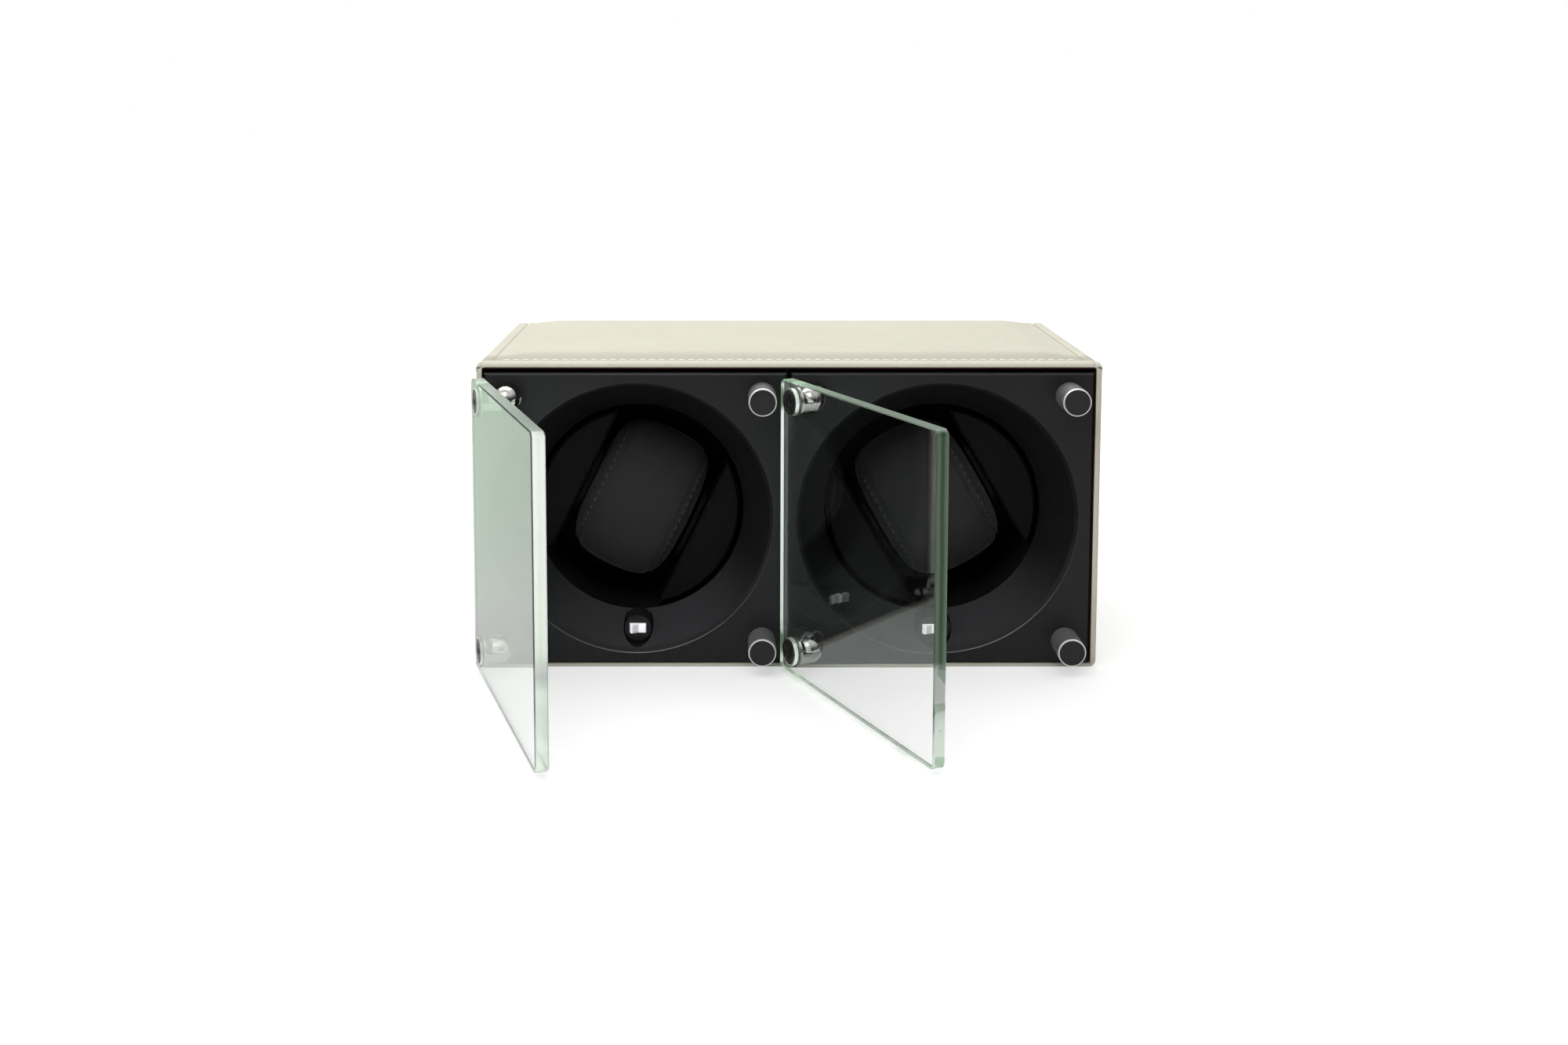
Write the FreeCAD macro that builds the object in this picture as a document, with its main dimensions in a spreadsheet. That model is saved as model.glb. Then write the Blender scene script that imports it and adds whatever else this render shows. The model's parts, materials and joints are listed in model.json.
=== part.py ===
import FreeCAD, Part
import Sketcher
import math
import os

# Two-module watch winder box: a leather-covered sleeve that holds two winder modules side by side.
# X runs to the right, +Y to the back and +Z up, in millimetres. The origin is the middle of the base.
# A module is drawn in its own frame: x to the right, y down and z the depth behind its front plate.
# A door is drawn closed in the frame of its hinge pin: x to the right, y to the back and z up.

SIZES = (
    # Leather sleeve
    ("leather", 0.9),
    ("board", 1.0),
    ("top_crown", 1.0),
    ("crown_shoulder", 11.0),
    ("leather_nose", 0.4),
    ("side_gap", 0.45),
    ("head_gap", 1.45),
    ("rear_recess", 3.4),
    # Front plates
    ("plate_thick", 2.0),
    ("plate_bevel", 0.7),
    ("plate_gap", 1.3),
    ("plate_recess", 0.6),
    ("plate_floor", 0.95),
    ("plate_side_margin", 4.5),
    ("plate_end_margin", 3.65),
    # Bowl round the rotor
    ("bowl_mouth", 46.5),
    ("mouth_break", 0.25),
    ("bowl_throat", 36.5),
    ("bowl_depth", 17.5),
    ("bowl_wall", 1.6),
    ("bowl_flange", 2.0),
    ("bowl_play", 0.3),
    ("well_thick", 1.5),
    # Module housing
    ("housing_wall", 1.5),
    ("housing_inset", 0.3),
    ("corner_block", 6.0),
    ("block_depth", 10.0),
    ("cover_thick", 2.0),
    ("cover_play", 0.2),
    ("notch_play", 0.2),
    ("rear_gap", 3.0),
    # Rotor, shaft and bearings
    ("rotor_gap", 1.5),
    ("rotor_lap", 0.5),
    ("rotor_depth", 40.0),
    ("rotor_floor", 4.0),
    ("rotor_slot", 42.0),
    ("cheek_edge", 0.8),
    ("hub_radius", 7.0),
    ("hub_length", 2.5),
    ("running_gap", 0.5),
    ("shaft_radius", 3.0),
    ("shaft_socket", 3.0),
    ("shaft_tail", 1.0),
    ("bearing_radius", 7.5),
    ("bearing_width", 5.0),
    ("bearing_spacer", 5.0),
    ("bearing_step", 1.2),
    ("boss_wall", 3.5),
    ("left_lean", 26.0),
    ("right_lean", -30.0),
    # Gear train and motor
    ("tooth_module", 0.8),
    ("gear_teeth", 50),
    ("pinion_teeth", 14),
    ("gear_width", 6.0),
    ("pinion_overhang", 0.3),
    ("tooth_pressure", 20.0),
    ("tooth_tip", 1.0),
    ("tooth_root", 1.25),
    ("gear_play", 0.15),
    ("gear_gap", 2.0),
    ("bearing_plate_thick", 3.0),
    ("motor_radius", 8.0),
    ("motor_length", 24.0),
    ("motor_nose", 3.5),
    ("motor_shaft_radius", 1.5),
    ("motor_bore", 10.0),
    ("arbor_play", 1.0),
    ("motor_seat_play", 0.2),
    ("motor_turn", 45.0),
    # Control board and power inlet
    ("circuit_length", 44.0),
    ("circuit_height", 26.0),
    ("circuit_thick", 1.6),
    ("circuit_stand", 5.0),
    ("circuit_gap", 6.0),
    ("stand_radius", 2.0),
    ("stand_inset", 3.0),
    ("chip_side", 10.0),
    ("chip_thick", 1.5),
    ("capacitor_radius", 3.0),
    ("capacitor_height", 8.0),
    ("lead_socket_length", 8.0),
    ("lead_socket_side", 5.0),
    ("inlet_radius", 5.5),
    ("inlet_barrel", 4.0),
    ("inlet_bore", 2.8),
    ("inlet_contact", 1.0),
    ("inlet_length", 12.0),
    ("inlet_proud", 0.6),
    ("inlet_floor", 3.0),
    ("inlet_seat", 1.5),
    ("inlet_place", 30.0),
    # Rear cover screws
    ("cover_screw_head", 2.4),
    ("cover_screw_radius", 1.25),
    ("cover_screw_length", 8.0),
    ("cover_screw_rise", 1.3),
    # Posts on the front plates
    ("post_radius", 4.7),
    ("ear_inset", 0.1),
    ("post_inset_side", 8.4),
    ("post_inset_end", 7.85),
    ("post_bevel", 0.5),
    ("stop_gap", 0.3),
    ("bumper_wall", 0.45),
    ("bumper_depth", 1.2),
    ("bumper_recess", 0.25),
    ("pillar_radius", 4.0),
    ("stud_radius", 2.0),
    ("stud_reach", 6.0),
    ("pillar_screw_head", 3.5),
    ("pillar_screw_rise", 2.2),
    ("pillar_screw_reach", 8.0),
    # Lap-jointed door hinges
    ("pivot_stand", 6.9),
    ("shoulder_gap", 0.2),
    ("lap_gap", 0.2),
    ("pin_radius", 1.2),
    ("pin_inset", 0.6),
    ("flange_thick", 0.6),
    ("gasket_thick", 0.6),
    ("gasket_rim", 0.6),
    ("screw_rim", 0.6),
    ("screw_depth", 1.5),
    ("screw_shank", 1.5),
    ("screw_reach", 3.0),
    ("screw_sink", 0.1),
    ("socket_radius", 1.1),
    ("socket_depth", 0.9),
    # Glass doors
    ("glass_thick", 4.2),
    ("glass_hinge_margin", 6.6),
    ("glass_lap", 4.6),
    ("glass_end_margin", 6.9),
    ("glass_arris", 0.4),
    ("glass_corner", 2.0),
    ("left_opening", 71.0),
    ("right_opening", 64.8),
    # Rocker switch in the bowl
    ("switch_radius", 4.6),
    ("switch_play", 0.5),
    ("switch_edge", 0.06),
    ("switch_face", 7.0),
    ("switch_rim", 0.4),
    ("switch_dish", 0.25),
    ("cup_wall", 1.2),
    ("cup_floor", 1.5),
    ("rocker_length", 5.4),
    ("rocker_height", 3.3),
    ("rocker_rise", 1.8),
    ("rocker_dip", 0.5),
    ("rocker_foot", 0.6),
    ("rocker_play", 0.5),
    ("rocker_side_play", 0.15),
    ("rocker_tilt", 12.0),
    ("rocker_sink", 0.7),
    ("rocker_well", 3.0),
    # Removable holder
    ("slot_play", 0.5),
    ("arm_thick", 1.5),
    ("arm_height", 28.0),
    ("arm_depth", 31.0),
    ("arm_round", 8.0),
    ("cradle_floor", 2.0),
    ("cushion_play", 0.45),
    ("cushion_depth", 35.0),
    ("cushion_height", 54.0),
    ("cushion_draw", 0.12),
    # Fits
    ("close_fit", 0.02),
    ("running_fit", 0.05),
)

doc = FreeCAD.newDocument("watch_winder_box")
sheet = doc.addObject("Spreadsheet::Sheet", "sheet")


class Size:
    """A number from the sheet, or worked out from it, with the expression that gives it."""

    def __init__(self, value, text):
        self.value = float(value)
        self.text = text

    def joined(self, other, sign, value):
        return Size(value, "(%s %s %s)" % (self.text, sign, other.text))

    def __add__(self, other):
        other = as_size(other)
        return self.joined(other, "+", self.value + other.value)

    def __sub__(self, other):
        other = as_size(other)
        return self.joined(other, "-", self.value - other.value)

    def __mul__(self, other):
        other = as_size(other)
        return self.joined(other, "*", self.value * other.value)

    def __truediv__(self, other):
        other = as_size(other)
        return self.joined(other, "/", self.value / other.value)

    def __radd__(self, other):
        return as_size(other) + self

    def __rsub__(self, other):
        return as_size(other) - self

    def __rmul__(self, other):
        return as_size(other) * self

    def __neg__(self):
        return -1 * self


class Sheet:
    """The driving sizes by name."""


def as_size(number):
    """A plain number as a Size."""
    return number if isinstance(number, Size) else Size(number, "%g" % number)


def cosine(angle):
    """Cosine of an angle in degrees."""
    return Size(math.cos(math.radians(angle.value)), "cos(%s * 1deg)" % angle.text)


def sine(angle):
    """Sine of an angle in degrees."""
    return Size(math.sin(math.radians(angle.value)), "sin(%s * 1deg)" % angle.text)


s = Sheet()
for row, (alias, value) in enumerate(SIZES, 1):
    sheet.set("A%d" % row, alias)
    sheet.set("B%d" % row, str(value))
    sheet.setAlias("B%d" % row, alias)
    setattr(s, alias, Size(value, "sheet." + alias))
doc.recompute()

# Sizes that follow from the sheet
slope = (s.bowl_mouth - s.bowl_throat) / s.bowl_depth
mouth_back = s.bowl_mouth - slope * s.plate_thick
plate_width = 2 * (s.bowl_mouth + s.plate_side_margin)
plate_height = 2 * (s.bowl_mouth + s.plate_end_margin)
module_x = (plate_width + s.plate_gap) / 2
module_z = s.plate_floor + plate_height / 2
wall = s.leather + s.board
case_width = 2 * plate_width + s.plate_gap + 2 * (s.side_gap + wall)
case_height = s.plate_floor + plate_height + s.head_gap + wall
rotor_radius = s.bowl_throat - s.rotor_gap
rotor_face = s.bowl_depth - s.rotor_lap
rotor_back = rotor_face + s.rotor_depth
well_floor = rotor_back + s.running_gap
well_back = well_floor + s.well_thick
gear_front = rotor_back + s.hub_length + s.running_gap
gear_back = gear_front + s.gear_width
bearing_front = gear_back + s.gear_gap
bearing_back = bearing_front + s.bearing_plate_thick
boss_back = bearing_front + 2 * s.bearing_width + s.bearing_spacer
cover_front = bearing_back + s.motor_length + s.rear_gap
cover_back = cover_front + s.cover_thick
case_depth = s.plate_recess + cover_back + s.rear_recess
front_y = -case_depth / 2
plate_y = front_y + s.plate_recess
housing_width = plate_width - 2 * s.housing_inset
housing_height = 2 * (module_z - wall)
inner_x = housing_width / 2 - s.housing_wall
inner_y = housing_height / 2 - s.housing_wall
cover_screw_x = inner_x - s.corner_block / 2
cover_screw_y = inner_y - s.corner_block / 2
gear_distance = s.tooth_module * (s.gear_teeth + s.pinion_teeth) / 2 + s.gear_play
motor_x = gear_distance * cosine(s.motor_turn)
motor_y = gear_distance * sine(s.motor_turn)
circuit_y = -(s.bearing_radius + s.boss_wall + s.circuit_gap + s.circuit_height / 2)
circuit_front = bearing_back + s.circuit_stand
post_x = plate_width / 2 - s.post_inset_side
post_y = plate_height / 2 - s.post_inset_end
ear_radius = s.post_radius - s.ear_inset
post_clear = 2 * s.post_radius
shoulder = s.post_radius + s.shoulder_gap
gasket_back = shoulder + s.flange_thick
glass_inner = gasket_back + s.gasket_thick
glass_outer = glass_inner + s.glass_thick
gasket_radius = ear_radius + s.gasket_rim
post_length = s.pivot_stand + glass_inner - s.stop_gap
bumper_radius = s.post_radius - s.bumper_wall
glass_width = s.glass_hinge_margin + 2 * post_x + s.glass_lap
glass_height = 2 * (post_y + s.glass_end_margin)
pocket_radius = s.switch_radius + s.switch_play
switch_drop = mouth_back - pocket_radius - s.switch_edge
pocket_floor = s.bowl_depth - s.cup_floor
cradle_half = s.rotor_slot / 2 - s.slot_play
cradle_back = rotor_back - s.rotor_floor
SIDES = (("left", -1, s.left_lean, s.left_opening), ("right", 1, s.right_lean, s.right_opening))
CORNERS = ((-1, -1), (1, -1), (1, 1), (-1, 1))
# Sections of the cushion, as shares of its half width
CUSHION_SHARES = (-1, -0.6, 0, 0.6, 1)
# How near two lengths are to count as one, and the least change that counts
SAME = 1e-4
TINY = 1e-6


def bind(item, name, size):
    """Tie one property to a size."""
    item.setExpression(name, as_size(size).text)


def place(item, base, *turns):
    """Tie a placement to a base point and turns, each an axis and an angle, the last one made first."""
    spins = ["rotation(vector(%d; %d; %d); %s)" % (*axis, as_size(angle).text) for axis, angle in turns]
    spins = spins or ["rotation(vector(0; 0; 1); 0)"]
    point = "; ".join(as_size(part).text for part in base)
    item.setExpression("Placement", "placement(vector(%s); %s)" % (point, " * ".join(spins)))


def place_case(item):
    """Put a piece drawn in the sleeve's frame, with y down and z the depth behind the leather's front."""
    place(item, (0, front_y, 0), ((1, 0, 0), -90))


def place_module(item, side, lean=0):
    """Put a piece drawn in a module's frame on its module, turned about the rotor's axis by lean."""
    place(item, (side * module_x, plate_y, module_z), ((1, 0, 0), -90), ((0, 0, 1), lean))


def place_door(item, side, opening=0):
    """Put a piece drawn in a closed door's frame on its hinge pin, swung open."""
    base = (side * module_x - post_x, plate_y - s.pivot_stand, module_z)
    place(item, base, ((0, 0, -1), opening))


def new_body(label):
    """A part-design body."""
    body = doc.addObject("PartDesign::Body", label)
    body.Label = label
    return body


def new_sketch(body, name, role="XY_Plane", offset=None):
    """A sketch on one of the body's own origin planes, moved along the plane's normal by offset."""
    sketch = body.newObject("Sketcher::SketchObject", body.Name + "_" + name)
    plane = [item for item in body.Origin.OriginFeatures if item.Role == role][0]
    sketch.AttachmentSupport = (plane, [""])
    sketch.MapMode = "FlatFace"
    if offset is not None:
        bind(sketch, "AttachmentOffset.Base.z", offset)
    return sketch


def pin_point(sketch, edge, point, across, along):
    """Hold one point of a sketch at bound distances from the sketch's origin."""
    for kind, size in (("DistanceX", as_size(across)), ("DistanceY", as_size(along))):
        index = sketch.addConstraint(Sketcher.Constraint(kind, -1, 1, edge, point, size.value))
        sketch.setExpression("Constraints[%d]" % index, size.text)


def outline(sketch, points):
    """Draw a closed polygon whose corners are bound."""
    first = sketch.GeometryCount
    corners = [FreeCAD.Vector(as_size(across).value, as_size(along).value, 0) for across, along in points]
    count = len(corners)
    for index in range(count):
        sketch.addGeometry(Part.LineSegment(corners[index], corners[(index + 1) % count]))
    for index in range(count):
        ends = (first + index, 2, first + (index + 1) % count, 1)
        sketch.addConstraint(Sketcher.Constraint("Coincident", *ends))
    for index, (across, along) in enumerate(points):
        pin_point(sketch, first + index, 1, across, along)


def rectangle(sketch, half_width, half_height, across=0, along=0):
    """Draw a rectangle about a centre."""
    outline(sketch, [(across + sx * half_width, along + sy * half_height) for sx, sy in CORNERS])


def circle(sketch, radius, across=0, along=0):
    """Draw a circle whose centre and radius are bound."""
    centre = FreeCAD.Vector(as_size(across).value, as_size(along).value, 0)
    edge = sketch.addGeometry(Part.Circle(centre, FreeCAD.Vector(0, 0, 1), radius.value))
    pin_point(sketch, edge, 3, across, along)
    index = sketch.addConstraint(Sketcher.Constraint("Radius", edge, radius.value))
    sketch.setExpression("Constraints[%d]" % index, radius.text)


def pad(body, sketch, length):
    """Raise a sketch along its normal."""
    feature = body.newObject("PartDesign::Pad", sketch.Name + "_pad")
    feature.Profile = sketch
    bind(feature, "Length", length)
    doc.recompute()


def must_cut(body, before, name):
    """Stop if a cut took nothing away."""
    if body.Shape.Volume >= before - TINY:
        raise ValueError("nothing was cut by " + name)


def pocket(body, sketch, length):
    """Cut a sketch into the body along the sketch's normal."""
    before = body.Shape.Volume
    feature = body.newObject("PartDesign::Pocket", sketch.Name + "_cut")
    feature.Profile = sketch
    bind(feature, "Length", length)
    feature.Reversed = True
    doc.recompute()
    must_cut(body, before, sketch.Name)


def revolve(body, name, points):
    """Turn a closed profile of radius and depth about the body's z axis."""
    sketch = new_sketch(body, name, "XZ_Plane")
    outline(sketch, points)
    feature = body.newObject("PartDesign::Revolution", sketch.Name + "_turn")
    feature.Profile = sketch
    feature.ReferenceAxis = (sketch, ["V_Axis"])
    feature.Angle = 360
    doc.recompute()


def groove(body, name, points):
    """Cut a closed profile of radius and depth, turned about the body's z axis, out of the body."""
    before = body.Shape.Volume
    sketch = new_sketch(body, name, "XZ_Plane")
    outline(sketch, points)
    feature = body.newObject("PartDesign::Groove", sketch.Name + "_turn")
    feature.Profile = sketch
    feature.ReferenceAxis = (sketch, ["V_Axis"])
    feature.Angle = 360
    doc.recompute()
    must_cut(body, before, sketch.Name)


def dress(body, kind, size, test):
    """Fillet or chamfer the edges of the body whose middle point passes a test."""
    names = []
    for index, edge in enumerate(body.Tip.Shape.Edges, 1):
        middle = edge.valueAt((edge.FirstParameter + edge.LastParameter) / 2)
        if test(middle, edge):
            names.append("Edge%d" % index)
    base = body.Tip
    feature = body.newObject("PartDesign::" + kind, body.Name + "_" + kind.lower())
    feature.Base = (base, names)
    bind(feature, "Radius" if kind == "Fillet" else "Size", size)
    doc.recompute()


def near(one, other):
    """Whether a length is a size."""
    return abs(one - as_size(other).value) < SAME


def straight_along(edge, axis):
    """Whether an edge is a straight line along an axis."""
    return edge.Curve.TypeId == "Part::GeomLine" and edge.Curve.Direction.cross(axis).Length < SAME


def cylinder(name, radius, length, base=(0, 0, 0), *turns):
    """A cylinder that stands on a base point."""
    item = doc.addObject("Part::Cylinder", name)
    bind(item, "Radius", radius)
    bind(item, "Height", length)
    place(item, base, *turns)
    return item


def ball(name, radius, centre):
    """A ball about a centre."""
    item = doc.addObject("Part::Sphere", name)
    bind(item, "Radius", radius)
    place(item, centre)
    return item


def box(name, size, base):
    """A box with its lowest corner at a base point."""
    item = doc.addObject("Part::Box", name)
    for side, length in zip(("Length", "Width", "Height"), size):
        bind(item, side, length)
    place(item, base)
    return item


def fuse(name, *pieces):
    """One solid from pieces that meet."""
    item = doc.addObject("Part::MultiFuse", name)
    item.Shapes = list(pieces)
    item.Refine = True
    return item


def boolean(kind, name, base, tool):
    """A base cut by a tool, or what they have in common."""
    item = doc.addObject("Part::" + kind, name)
    item.Base = base
    item.Tool = tool
    return item


def ring(name, outer, inner, length, base, *turns):
    """A plain ring."""
    rim = cylinder(name + "_rim", outer, length, base, *turns)
    bore = cylinder(name + "_bore", inner, length, base, *turns)
    return boolean("Cut", name, rim, bore)


def group(label, pieces):
    """Like solids that share one node."""
    item = doc.addObject("Part::Compound", label)
    item.Links = pieces
    item.Label = label
    return item


def build_sleeve():
    """The board tube that the leather covers, cut back at the bottom for the front plates."""
    body = new_body("case_sleeve")
    half = case_width / 2 - s.leather
    low = s.leather
    high = case_height - s.leather
    section = new_sketch(body, "section", "XY_Plane", s.leather)
    rectangle(section, half, (high - low) / 2, 0, -(high + low) / 2)
    rectangle(section, half - s.board, (high - low) / 2 - s.board, 0, -(high + low) / 2)
    pad(body, section, case_depth - s.leather)
    notch = new_sketch(body, "plate_notch", "XY_Plane", s.leather)
    rectangle(notch, half - s.board, s.board / 2, 0, -(low + s.board / 2))
    pocket(body, notch, s.plate_recess + s.plate_thick + s.notch_play - s.leather)
    place_case(body)
    return [body]


def build_leather_top():
    """The padded top panel: a crowned skin with a lip rolled over the board's front edge."""
    body = new_body("leather_top")
    half = case_width / 2 - s.leather
    under = case_height - s.leather
    lip = case_height - wall
    sections = []
    for number, (across, crown) in enumerate((
            (-half, 0 * s.top_crown), (s.crown_shoulder - half, s.top_crown),
            (half - s.crown_shoulder, s.top_crown), (half, 0 * s.top_crown))):
        sketch = new_sketch(body, "section_%d" % number, "YZ_Plane", across)
        outline(sketch, [
            (-lip, 0), (-lip, s.leather), (-under, s.leather), (-under, case_depth),
            (-case_height, case_depth), (-(case_height + crown), case_depth - s.crown_shoulder),
            (-(case_height + crown), s.crown_shoulder), (-case_height, s.leather_nose),
            (s.leather_nose - case_height, 0)])
        sections.append(sketch)
    skin = body.newObject("PartDesign::AdditiveLoft", "leather_top_skin")
    skin.Profile = sections[0]
    skin.Sections = sections[1:]
    skin.Ruled = True
    doc.recompute()
    place_case(body)
    return [body]


def build_leather_bottom():
    """The flat base panel that the box stands on, notched at the front for the side lips."""
    body = new_body("leather_bottom")
    skin = new_sketch(body, "skin", "XZ_Plane")
    half = case_width / 2 - s.leather
    narrow = case_width / 2 - wall
    outline(skin, [(-narrow, 0), (narrow, 0), (narrow, s.leather), (half, s.leather), (half, case_depth),
                   (-half, case_depth), (-half, s.leather), (-narrow, s.leather)])
    pad(body, skin, s.leather)
    place_case(body)
    return [body]


def build_leather_side(name, side):
    """A side panel: an upright skin and the lip that folds round the board's front edge."""
    body = new_body("leather_" + name)
    outer = case_width / 2
    skin = new_sketch(body, "skin", "XZ_Plane")
    outline(skin, [(side * (outer - s.leather_nose), 0), (side * outer, s.leather_nose),
                   (side * outer, case_depth), (side * (outer - s.leather), case_depth),
                   (side * (outer - s.leather), 0)])
    pad(body, skin, case_height)
    lip = new_sketch(body, "lip", "XZ_Plane")
    outline(lip, [(side * (outer - s.leather), 0), (side * (outer - s.leather), s.leather),
                  (side * (outer - wall), s.leather), (side * (outer - wall), 0)])
    pad(body, lip, case_height - wall)
    place_case(body)
    return [body]


def build_front_plate(name, side):
    """The bevelled front plate with its tapered opening, broken at its edge, and the holes for the studs."""
    body = new_body(name + "_front_plate")
    blank = new_sketch(body, "blank")
    rectangle(blank, plate_width / 2, plate_height / 2)
    pad(body, blank, s.plate_thick)
    dress(body, "Chamfer", s.plate_bevel, lambda middle, edge: near(middle.z, 0))
    front = s.bowl_mouth + s.mouth_break + s.plate_thick
    edge = s.bowl_mouth - slope * s.mouth_break
    back = mouth_back - slope * s.plate_thick
    groove(body, "opening", [(0, -s.plate_thick), (front, -s.plate_thick), (edge, s.mouth_break),
                             (back, 2 * s.plate_thick), (0, 2 * s.plate_thick)])
    holes = new_sketch(body, "stud_holes")
    for sx, sy in CORNERS:
        circle(holes, s.stud_radius + s.close_fit, sx * post_x, sy * post_y)
    pocket(body, holes, s.plate_thick)
    place_module(body, side)
    return [body]


def build_bowl(name, side):
    """The tapered bowl and the round well behind it, with a flange and a cup for the rocker switch."""
    body = new_body(name + "_bowl")
    flange_back = s.plate_thick + s.bowl_flange
    flange_radius = inner_y - s.bowl_play
    well_radius = s.bowl_throat + s.bowl_wall
    revolve(body, "outside", [
        (0, s.plate_thick), (flange_radius, s.plate_thick), (flange_radius, flange_back),
        (mouth_back + s.bowl_wall - slope * s.bowl_flange, flange_back),
        (well_radius, s.bowl_depth), (well_radius, well_back), (0, well_back)])
    cup = new_sketch(body, "cup", "XY_Plane", s.plate_thick)
    circle(cup, pocket_radius + s.cup_wall, 0, switch_drop)
    pad(body, cup, s.bowl_depth - s.plate_thick)
    groove(body, "inside", [(0, 0), (s.bowl_mouth, 0), (s.bowl_throat, s.bowl_depth),
                            (s.bowl_throat, well_floor), (0, well_floor)])
    hub_hole = new_sketch(body, "hub_hole", "XY_Plane", well_floor)
    circle(hub_hole, s.hub_radius + s.running_gap)
    pocket(body, hub_hole, s.well_thick)
    hole = new_sketch(body, "switch_hole", "XY_Plane", s.plate_thick)
    circle(hole, pocket_radius, 0, switch_drop)
    pocket(body, hole, pocket_floor - s.plate_thick)
    place_module(body, side)
    return [body]


def build_housing(name, side):
    """The square tube of the module, with corner blocks for the rear cover's screws."""
    body = new_body(name + "_housing")
    section = new_sketch(body, "section", "XY_Plane", s.plate_thick)
    rectangle(section, housing_width / 2, housing_height / 2)
    rectangle(section, inner_x, inner_y)
    pad(body, section, cover_front - s.plate_thick)
    lap = s.housing_wall / 2
    blocks = new_sketch(body, "corner_blocks", "XY_Plane", cover_front - s.block_depth)
    for sx, sy in CORNERS:
        half = (s.corner_block + lap) / 2
        rectangle(blocks, half, half, sx * (inner_x + lap - half), sy * (inner_y + lap - half))
    pad(body, blocks, s.block_depth)
    holes = new_sketch(body, "screw_holes", "XY_Plane", cover_back - s.cover_screw_length)
    for sx, sy in CORNERS:
        circle(holes, s.cover_screw_radius + s.close_fit, sx * cover_screw_x, sy * cover_screw_y)
    pocket(body, holes, s.cover_screw_length)
    place_module(body, side)
    return [body]


def build_rear_cover(name, side):
    """The rear cover with its screw holes and the hole for the power inlet."""
    body = new_body(name + "_rear_cover")
    blank = new_sketch(body, "blank", "XY_Plane", cover_front)
    rectangle(blank, housing_width / 2, housing_height / 2)
    for sx, sy in CORNERS:
        circle(blank, s.cover_screw_radius + s.close_fit, sx * cover_screw_x, sy * cover_screw_y)
    circle(blank, s.inlet_barrel + s.running_fit, -s.inlet_place, s.inlet_place)
    pad(body, blank, s.cover_thick)
    place_module(body, side)
    return [body]


def screw_set(label, places, seat, head, rise, shank, reach):
    """Pan-head screws driven forwards from a seat, one at each place."""
    screws = []
    for number, (across, along) in enumerate(places):
        stem = "%s_%d" % (label, number)
        cap = cylinder(stem + "_head", head, rise, (across, along, seat))
        bolt = cylinder(stem + "_shank", shank, reach, (across, along, seat - reach))
        screws.append(fuse(stem, cap, bolt))
    return group(label, screws)


def build_fasteners(name, side):
    """The hollow pillars that carry the bearing plate, their screws and the rear cover's screws."""
    spots = [(sx * post_x, sy * post_y) for sx, sy in CORNERS]
    pillars = []
    for number, (across, along) in enumerate(spots):
        pillars.append(ring("%s_pillar_%d" % (name, number), s.pillar_radius, s.stud_radius + s.close_fit,
                            bearing_front - s.plate_thick, (across, along, s.plate_thick)))
    corners = [(sx * cover_screw_x, sy * cover_screw_y) for sx, sy in CORNERS]
    pieces = [
        group(name + "_pillars", pillars),
        screw_set(name + "_pillar_screws", spots, bearing_back, s.pillar_screw_head, s.pillar_screw_rise,
                  s.stud_radius, s.pillar_screw_reach),
        screw_set(name + "_cover_screws", corners, cover_back, s.cover_screw_head, s.cover_screw_rise,
                  s.cover_screw_radius, s.cover_screw_length)]
    for piece in pieces:
        place_module(piece, side)
    return pieces


def build_bearing_plate(name, side):
    """The plate behind the rotor: bearing boss, motor hole, screw holes and stands for the circuit."""
    body = new_body(name + "_bearing_plate")
    blank = new_sketch(body, "blank", "XY_Plane", bearing_front)
    rectangle(blank, inner_x - s.cover_play, inner_y - s.cover_play)
    circle(blank, s.motor_nose + s.running_fit, motor_x, motor_y)
    for sx, sy in CORNERS:
        circle(blank, s.stud_radius + s.close_fit, sx * post_x, sy * post_y)
    pad(body, blank, s.bearing_plate_thick)
    boss = new_sketch(body, "boss", "XY_Plane", bearing_back)
    circle(boss, s.bearing_radius + s.boss_wall)
    pad(body, boss, boss_back - bearing_back)
    stands = new_sketch(body, "stands", "XY_Plane", bearing_back)
    for sx, sy in CORNERS:
        circle(stands, s.stand_radius, sx * (s.circuit_length / 2 - s.stand_inset),
               circuit_y + sy * (s.circuit_height / 2 - s.stand_inset))
    pad(body, stands, s.circuit_stand)
    seat = s.bearing_radius + s.close_fit
    step = s.bearing_radius - s.bearing_step
    front_seat = bearing_front + s.bearing_width
    back_seat = front_seat + s.bearing_spacer
    groove(body, "bore", [
        (0, bearing_front), (seat, bearing_front), (seat, front_seat), (step, front_seat),
        (step, back_seat), (seat, back_seat), (seat, boss_back), (0, boss_back)])
    place_module(body, side)
    return [body]


def build_bearings(name, side):
    """The two shaft bearings, one at each end of the boss."""
    starts = (bearing_front, boss_back - s.bearing_width)
    rings = []
    for number, start in enumerate(starts):
        rings.append(ring("%s_bearing_%d" % (name, number), s.bearing_radius,
                          s.shaft_radius + s.running_fit, s.bearing_width, (0, 0, start)))
    node = group(name + "_bearings", rings)
    place_module(node, side)
    return [node]


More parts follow.
